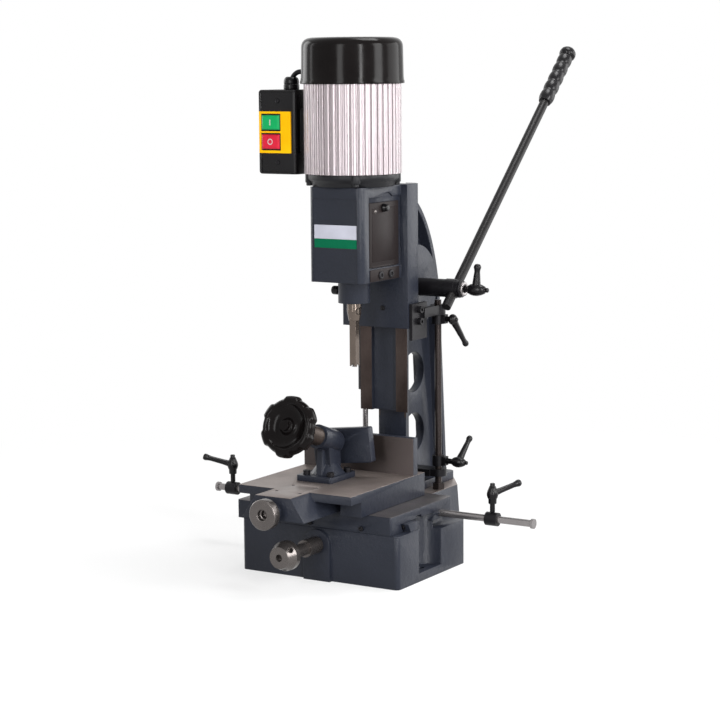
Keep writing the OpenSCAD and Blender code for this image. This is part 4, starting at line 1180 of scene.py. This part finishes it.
@dataclass
class Levers(SubAssembly):
    """Every hand lever: the five clamping levers, the feed lever's grip and the chisel screw."""

    shaft: tuple[float, float] = (135.0, 389.0)
    hub_end: float = 96.3
    lean: float = 47.6
    lever_x: float = 87.3
    beads: int = 5
    bead_pitch: float = 20.0
    first_bead: float = 398.0
    thumb_at: Point = (-23.6, 0.0, 394.0)
    flutes: int = 12
    depth_rod: tuple[float, float] = (71.3, 139.0)
    depth_stop_z: float = 134.5
    head_lock_z: float = 343.5
    stop_rod: tuple[float, float] = (36.0, 91.6)
    left_stop_x: float = -238.0
    right_stop_x: float = 201.0

    def clamps(self) -> None:
        """Models the clamping levers where the solids have them."""
        hub = ClampLever("hub_clamp_handle", (self.hub_end + 0.3, *self.shaft), turn=0, hub_len=45,
                         arm_len=34, lean=4, size=Handle.LARGE, stud=1.8)
        stop = ClampLever("depth_stop_handle", (*self.depth_rod, self.depth_stop_z), turn=40,
                          hub_len=34, arm_len=42, lean=6, size=Handle.SMALL)
        lock = ClampLever("head_lock_handle_arm", (*self.depth_rod, self.head_lock_z), turn=152,
                          hub_len=18, arm_len=44, lean=14, size=Handle.SMALL)
        for lever, body, node in ((hub, "hub_clamp", "hub_clamp_lever"),
                                  (stop, "depth_stop_handle", "depth_stop_lever"),
                                  (lock, "head_lock_handle", "head_lock_lever")):
            self.place(lever.model(), body, "black plastic", [node])
        for side, x, turn in (("left", self.left_stop_x, 210), ("right", self.right_stop_x, 55)):
            self.stop_lever(side, x, math.radians(turn))

    def stop_lever(self, side: str, x: float, turn: float) -> None:
        """Models one stop's lever: a post, a bulged hub with its push button, and the handle.

        Args:
            side: left or right.
            x: place of the collar along the rod.
            turn: direction of the handle about the hub, in radians.
        """
        y, z = self.stop_rod
        profile = [(0, 0), (3.4, 0), (3.6, 0.4), (3.6, 12), (5.3, 12), (5.7, 12.5), (5.9, 18.6),
                   (6.9, 20.2), (7.9, 23.4), (8.0, 26.6), (7.2, 29.6), (5.6, 33.6), (4.4, 36.6),
                   (3.5, 37.2), (3.5, 40.4), (2.8, 41), (0, 41)]
        hub = Shop.turn("hub", profile, (x, y, z), Way.UP, 36, Edge(0.3, 2, 40))
        lean = math.radians(16)
        way = Vector((math.cos(turn) * math.cos(lean), math.sin(turn) * math.cos(lean), math.sin(lean)))
        profile = [(0, 2), (4.6, 2), (4.5, 8), (4.0, 14), (3.7, 34), (4.3, 38.5), (5.0, 41),
                   (4.9, 43.5), (3.6, 45.6), (0, 46.2)]
        arm = Shop.turn("arm", profile, (x, y, z + 26), way, 24, Edge(smooth=60))
        whole = Shop.join(f"{side}_stop_handle_arm", hub, arm)
        self.place(whole, f"{side}_stop_handle", "black plastic", [f"{side}_stop_lever"])

    def rings(self) -> None:
        """Turns the lip and the bright ring at the end of the lever's hub."""
        bore = 5.8
        for name, finish, r, start, end in (("lip", "blackened steel", 12.4, 0.0, 3.8),
                                            ("ring", "bright steel", 10.4, 3.8, 7.6)):
            profile = [(bore, start), (r - 0.5, start), (r, start + 0.5), (r, end - 0.7), (r - 0.7, end),
                       (bore, end), (bore, start)]
            ring = Shop.turn(f"lever_hub_{name}", profile, (self.hub_end, *self.shaft), Way.RIGHT, 40,
                             Edge(0.2))
            self.place(ring, "lift_lever", finish)

    def grip(self) -> None:
        """Turns the beaded grip of the feed lever."""
        lean = math.radians(self.lean)
        profile = [(0, 386), (7.05, 386), (9.4, 386.4), (9.8, 388)]
        for i in range(self.beads):
            middle = self.first_bead + i * self.bead_pitch
            for step in range(1, 8):
                a = math.pi * step / 8
                profile.append((9.1 + 2.5 * math.sin(a), middle - 9.4 * math.cos(a)))
        profile += [(9.3, 487.5), (11.6, 489), (12.7, 491.5), (12.9, 494), (12.2, 498), (9.8, 501.5),
                    (6, 503.4), (0, 504)]
        grip = Shop.turn("feed_grip_beads", profile, (self.lever_x, *self.shaft),
                         Vector((0, math.sin(lean), math.cos(lean))), 40, Edge(0.3, 2, 45, 60))
        self.place(grip, "lift_lever", "black plastic", ["lever_grip"])

    def thumb(self) -> None:
        """Models the fluted head of the chisel screw, with its stem."""
        profile = [(0, 11.8), (4.6, 11.8), (6.0, 10.9), (6.4, 9.2), (6.4, 2.4), (5.6, 1.2), (3.8, 0.6),
                   (3.8, 0), (0, 0)]
        knob = Shop.lathe(profile, self.thumb_at, Way.LEFT, 36)
        Shop.press(knob, self.thumb_at, Way.BACK.value, Way.UP.value, self.fluted)
        Shop.finish(knob, "knob", Edge(0.3))
        x, y, z = self.thumb_at
        stem = Shop.turn("stem", [(0, -0.5), (2.95, -0.5), (2.95, 12.8), (2.4, 13.2), (0, 13.2)],
                         (x - 0.2, y, z), Way.RIGHT, 20)
        whole = Shop.join("chisel_screw_head", knob, stem)
        self.place(whole, "chisel_screw", "black plastic", ["chisel_thumb_screw"])

    def fluted(self, angle: float, reach: float) -> float:
        """The share of its distance that a point of the chisel screw's rim keeps."""
        return 1 - 0.025 * (1 + math.cos(self.flutes * angle)) if reach > 5.5 else 1.0

    def build(self) -> None:
        """Models the levers."""
        self.clamps()
        self.rings()
        self.grip()
        self.thumb()


# The work clamp, the castings and the small pieces


@dataclass
class Handwheel(SubAssembly):
    """The work clamp's lobed handwheel."""

    radius: float = 43.0
    lobes: int = 6
    lobe_depth: float = 0.075
    lobe_width: float = 9.0
    lobe_turn: float = 30.0
    web: float = 30.5

    def lobed(self, angle: float, reach: float) -> float:
        """Works out how the lobes press the rim in.

        Args:
            angle: the angle about the screw, in radians.
            reach: the distance from the screw.

        Returns:
            The share of its distance that a point keeps, lower between two lobes.
        """
        if reach <= self.web:
            return 1.0
        wave = math.cos(self.lobes * (angle - math.radians(self.lobe_turn)))
        hollow = 1 - min(1.0, max(0.0, 0.5 + 1.9 * wave))
        return 1 - self.lobe_depth * hollow * min(1.0, (reach - self.web) / self.lobe_width)

    def build(self) -> None:
        """Turns the dished wheel, presses its lobes in and adds its cap."""
        slope, r = math.radians(CLAMP_TILT), self.radius
        way = Vector((0, math.cos(slope), -math.sin(slope)))
        profile = [(0, -8.5), (6.4, -8.5), (8.6, -7.6), (10.2, -4.6), (11.8, -2.0), (14.5, -0.9),
                   (19, -1.1), (24, -2.8), (28, -5.4), (30.6, -8.0), (32, -9.6), (33.6, -10.2),
                   (37, -9.8), (40, -8), (42.2, -4.8), (r, -1), (r, 3), (r - 1, 6), (r - 3.4, 8.4),
                   (r - 8, 9.2), (r - 12, 8), (24, 5.4), (16.2, 6.6), (15, 9), (15, 24.8), (13.8, 26),
                   (0, 26)]
        wheel = Shop.lathe(profile, CLAMP_CENTRE, way, 144)
        side = Way.RIGHT.value
        Shop.press(wheel, CLAMP_CENTRE, side, side.cross(way), self.lobed)
        Shop.finish(wheel, "clamp_wheel_lobed", Edge(smooth=50))
        self.place(wheel, "clamp_wheel", "gloss black", ["clamp_handwheel"])
        profile = [(0, -9.4), (3.6, -9.4), (4.6, -9.1), (5.0, -8.6), (5.0, -8), (0, -8)]
        cap = Shop.turn("clamp_wheel_cap", profile, CLAMP_CENTRE, way, 32, Edge(0.3))
        self.place(cap, "clamp_wheel", "black plastic")


@dataclass
class FeedDisc(SubAssembly):
    """The cross feed's turned disc, with its chamfered rim and its stepped bore."""

    centre: Point = (-12.0, -207.6, 112.7)
    radius: float = 21.0
    thick: float = 13.4
    bore: float = 7.4

    def build(self) -> None:
        """Turns the disc."""
        r, t, b = self.radius, self.thick, self.bore
        profile = [(0, 0), (r - 1, 0), (r, 1), (r, t - 1.3), (r - 1.3, t), (b + 1.0, t), (b, t - 0.9),
                   (b, t - 6.6), (b - 1.8, t - 7.2), (b - 1.9, t - 12.9), (0, t - 12.9)]
        disc = Shop.turn("cross_feed_disc", profile, self.centre, Way.FRONT, 72, Edge(0.3, 2, 30))
        self.place(disc, "table_feed", "turned steel", ["cross_feed_hub"])


@dataclass
class Castings(SubAssembly):
    """The castings, with the rounded edges that sand moulds leave."""

    rounds: tuple[tuple[str, str, str, float], ...] = (
        ("base_casting", "frame", "base paint", 1.6),
        ("column_casting", "frame", "column paint", 1.4),
        ("head_casting", "head", "head paint", 1.5),
        ("saddle_casting", "saddle", "saddle paint", 0.9),
        ("table_casting", "table", "table paint", 0.9),
        ("clamp_stand", "table", "stand paint", 1.2),
        ("clamp_jaw", "jaw", "jaw paint", 0.9),
        ("gear_cover", "frame", "paint", 0.9),
    )

    def build(self) -> None:
        """Rounds each casting's edges on a copy of its solid."""
        for node, body, finish, width in self.rounds:
            piece = Shop.from_solid(node, f"{node}_rounded", Edge(width, 2, 38, 35))
            self.place(piece, body, finish, [node])


@dataclass
class Fasteners(SubAssembly):
    """Small socket-head screws that the solids leave out."""

    def screw(self, name: str, seat: Point, way: Way, size: tuple[float, float], body: str) -> None:
        """Models one socket-head screw.

        Args:
            name: the piece's name.
            seat: the centre of its seat.
            way: the direction that the head points.
            size: the head's radius and height.
            body: the body that it rides on.
        """
        r, h = size
        profile = [(0, h * 0.5), (r * 0.52, h * 0.5), (r * 0.55, h), (r * 0.9, h), (r, h * 0.86),
                   (r, 0), (r * 0.6, -0.4), (0, -0.4)]
        self.place(Shop.turn(name, profile, seat, way, 28, Edge(0.2)), body, "blackened steel")

    def build(self) -> None:
        """Models the screws."""
        for i, x in enumerate((-96, -13, 70)):
            self.screw(f"saddle_gib_screw_{i}", (x, -100, 80), Way.FRONT, (3.4, 2.6), "saddle")
        self.screw("saddle_end_screw", (117.5, -67, 81), Way.RIGHT, (3.4, 2.2), "saddle")
        for i, y in enumerate((-84, -32, 22)):
            self.screw(f"table_gib_screw_{i}", (-100.5, y, 110), Way.LEFT, (3.2, 2.0), "table")
        self.screw("slide_screw", (13, 57, 365), Way.FRONT, (3.6, 1.6), "head")


# The studio


@dataclass
class Studio:
    """The floor, the light and the camera at the photograph's place, in metres and degrees."""

    eye: Point = (1.5443, -2.5056, 0.7150)
    azimuth: float = 31.5
    pitch: float = 8.1
    roll: float = 0.45
    lens: float = 105.25
    sensor: float = 36.0
    floor_size: float = 14.0
    floor_z: float = -0.0002
    floor_seen: Colour = (0.86, 0.86, 0.86)
    floor_lit: Colour = (0.36, 0.36, 0.36)
    floor_glow: float = 0.66
    floor_fade: float = 0.7
    sky_light: float = 0.2
    aim: Point = (0.0, 0.0, 0.35)

    def camera(self) -> None:
        """Makes the camera."""
        a, p, r = (math.radians(v) for v in (self.azimuth, self.pitch, self.roll))
        forward = Vector((-math.sin(a) * math.cos(p), math.cos(a) * math.cos(p), -math.sin(p)))
        level = Vector((math.cos(a), math.sin(a), 0.0))
        upright = level.cross(forward)
        right = level * math.cos(r) - upright * math.sin(r)
        up = level * math.sin(r) + upright * math.cos(r)
        data = bpy.data.cameras.new("camera")
        data.lens = self.lens
        data.sensor_width = self.sensor
        camera = bpy.data.objects.new("camera", data)
        bpy.context.scene.collection.objects.link(camera)
        turn = Matrix((right, up, -forward)).transposed()
        camera.matrix_world = Matrix.Translation(Vector(self.eye)) @ turn.to_4x4()
        bpy.context.scene.camera = camera

    def floor(self) -> None:
        """Makes the floor, which fades to white away from the machine and keeps its shadow."""
        Shop.clear()
        bpy.ops.mesh.primitive_plane_add(size=self.floor_size, location=(0, 0, self.floor_z))
        floor = bpy.context.object
        floor.name = "floor"
        s = Shader("floor white")
        seen = self.seen(s.tree)
        s.set(Base_Color=s.mix(seen, self.floor_lit, self.floor_seen), Roughness=0.9)
        far = ((s.x * s.x + s.y * s.y) * self.floor_fade).clamp()
        share = seen * (self.floor_glow + far * (1 - self.floor_glow))
        glow = s.node("ShaderNodeEmission", {}, {"Color": (1, 1, 1), "Strength": 1.0})
        blend = s.node("ShaderNodeMixShader", {}, {0: share, 1: Sock(s.tree, s.bsdf.outputs[0]),
                                                   2: Sock(s.tree, glow.outputs[0])})
        feed(s.tree.nodes["Material Output"].inputs[0], Sock(s.tree, blend.outputs[0]))
        floor.data.materials.append(s.mat)

    @staticmethod
    def seen(tree: bpy.types.NodeTree) -> Sock:
        """A mask that is 1 for camera, glossy and transmission rays.

        Args:
            tree: the node tree of the floor or the world.

        Returns:
            The mask.
        """
        path = add_node(tree, "ShaderNodeLightPath", {}, {})
        camera, glossy, through = (Sock(tree, path.outputs[f"Is {kind} Ray"])
                                   for kind in ("Camera", "Glossy", "Transmission"))
        return camera.max(glossy).max(through)

    def sky(self) -> None:
        """Makes the world: white where it is seen, dimmer as light and brighter from the right."""
        world = bpy.data.worlds.new("world")
        bpy.context.scene.world = world
        world.use_nodes = True
        tree = world.node_tree
        coords = add_node(tree, "ShaderNodeTexCoord", {}, {})
        place = Sock(tree, coords.outputs["Generated"])
        split = add_node(tree, "ShaderNodeSeparateXYZ", {}, {0: place})
        seen = self.seen(tree)
        light = Sock(tree, split.outputs[0]) * self.sky_light + self.sky_light
        back = tree.nodes["Background"]
        feed(back.inputs[0], (1, 1, 1))
        feed(back.inputs[1], seen + (1.0 - seen) * light)

    def lamp(self, name: str, place: Point, size: tuple[float, float], power: float) -> None:
        """Adds an upright soft box aimed at the machine's middle.

        Args:
            name: the lamp's name.
            place: where it stands.
            size: its width and height.
            power: its power in watts.
        """
        data = bpy.data.lights.new(name, "AREA")
        data.shape = "RECTANGLE"
        data.size, data.size_y = size
        data.energy = power
        lamp = bpy.data.objects.new(name, data)
        lamp.location = place
        way = Vector(self.aim) - Vector(place)
        lamp.rotation_euler = way.to_track_quat("-Z", "Y").to_euler()
        bpy.context.scene.collection.objects.link(lamp)

    def build(self) -> None:
        """Makes the whole set."""
        self.camera()
        self.floor()
        self.sky()
        self.lamp("side box", (2.6, 0.1, 1.3), (0.9, 1.6), 62)
        self.lamp("strip box", (1.9, -1.55, 0.9), (0.2, 1.9), 42)
        self.lamp("front box", (0.2, -2.6, 1.0), (0.55, 1.8), 30)
        self.lamp("left strip", (-2.3, -0.7, 0.9), (0.25, 1.8), 7)
        self.lamp("top box", (0.3, 0.6, 2.6), (1.2, 0.8), 36)
        self.lamp("back box", (1.75, 2.0, 0.9), (2.0, 1.7), 34)
        self.lamp("left box", (-2.6, 0.5, 1.2), (1.0, 1.6), 20)
        bpy.context.scene.view_settings.view_transform = "Standard"


def main() -> None:
    """Builds the machine's pieces in order."""
    Studio().build()
    finishes = make_finishes()
    whole = SubAssembly(finishes)
    for finish, nodes in DRESS.items():
        for node in nodes:
            whole.dress(node, finish)
    for part in (Motor, Switch, Head, Levers, Handwheel, FeedDisc, Castings, Fasteners):
        LOG.info("building %s", part.__name__)
        part(finishes).build()


if __name__ == "__main__":
    main()
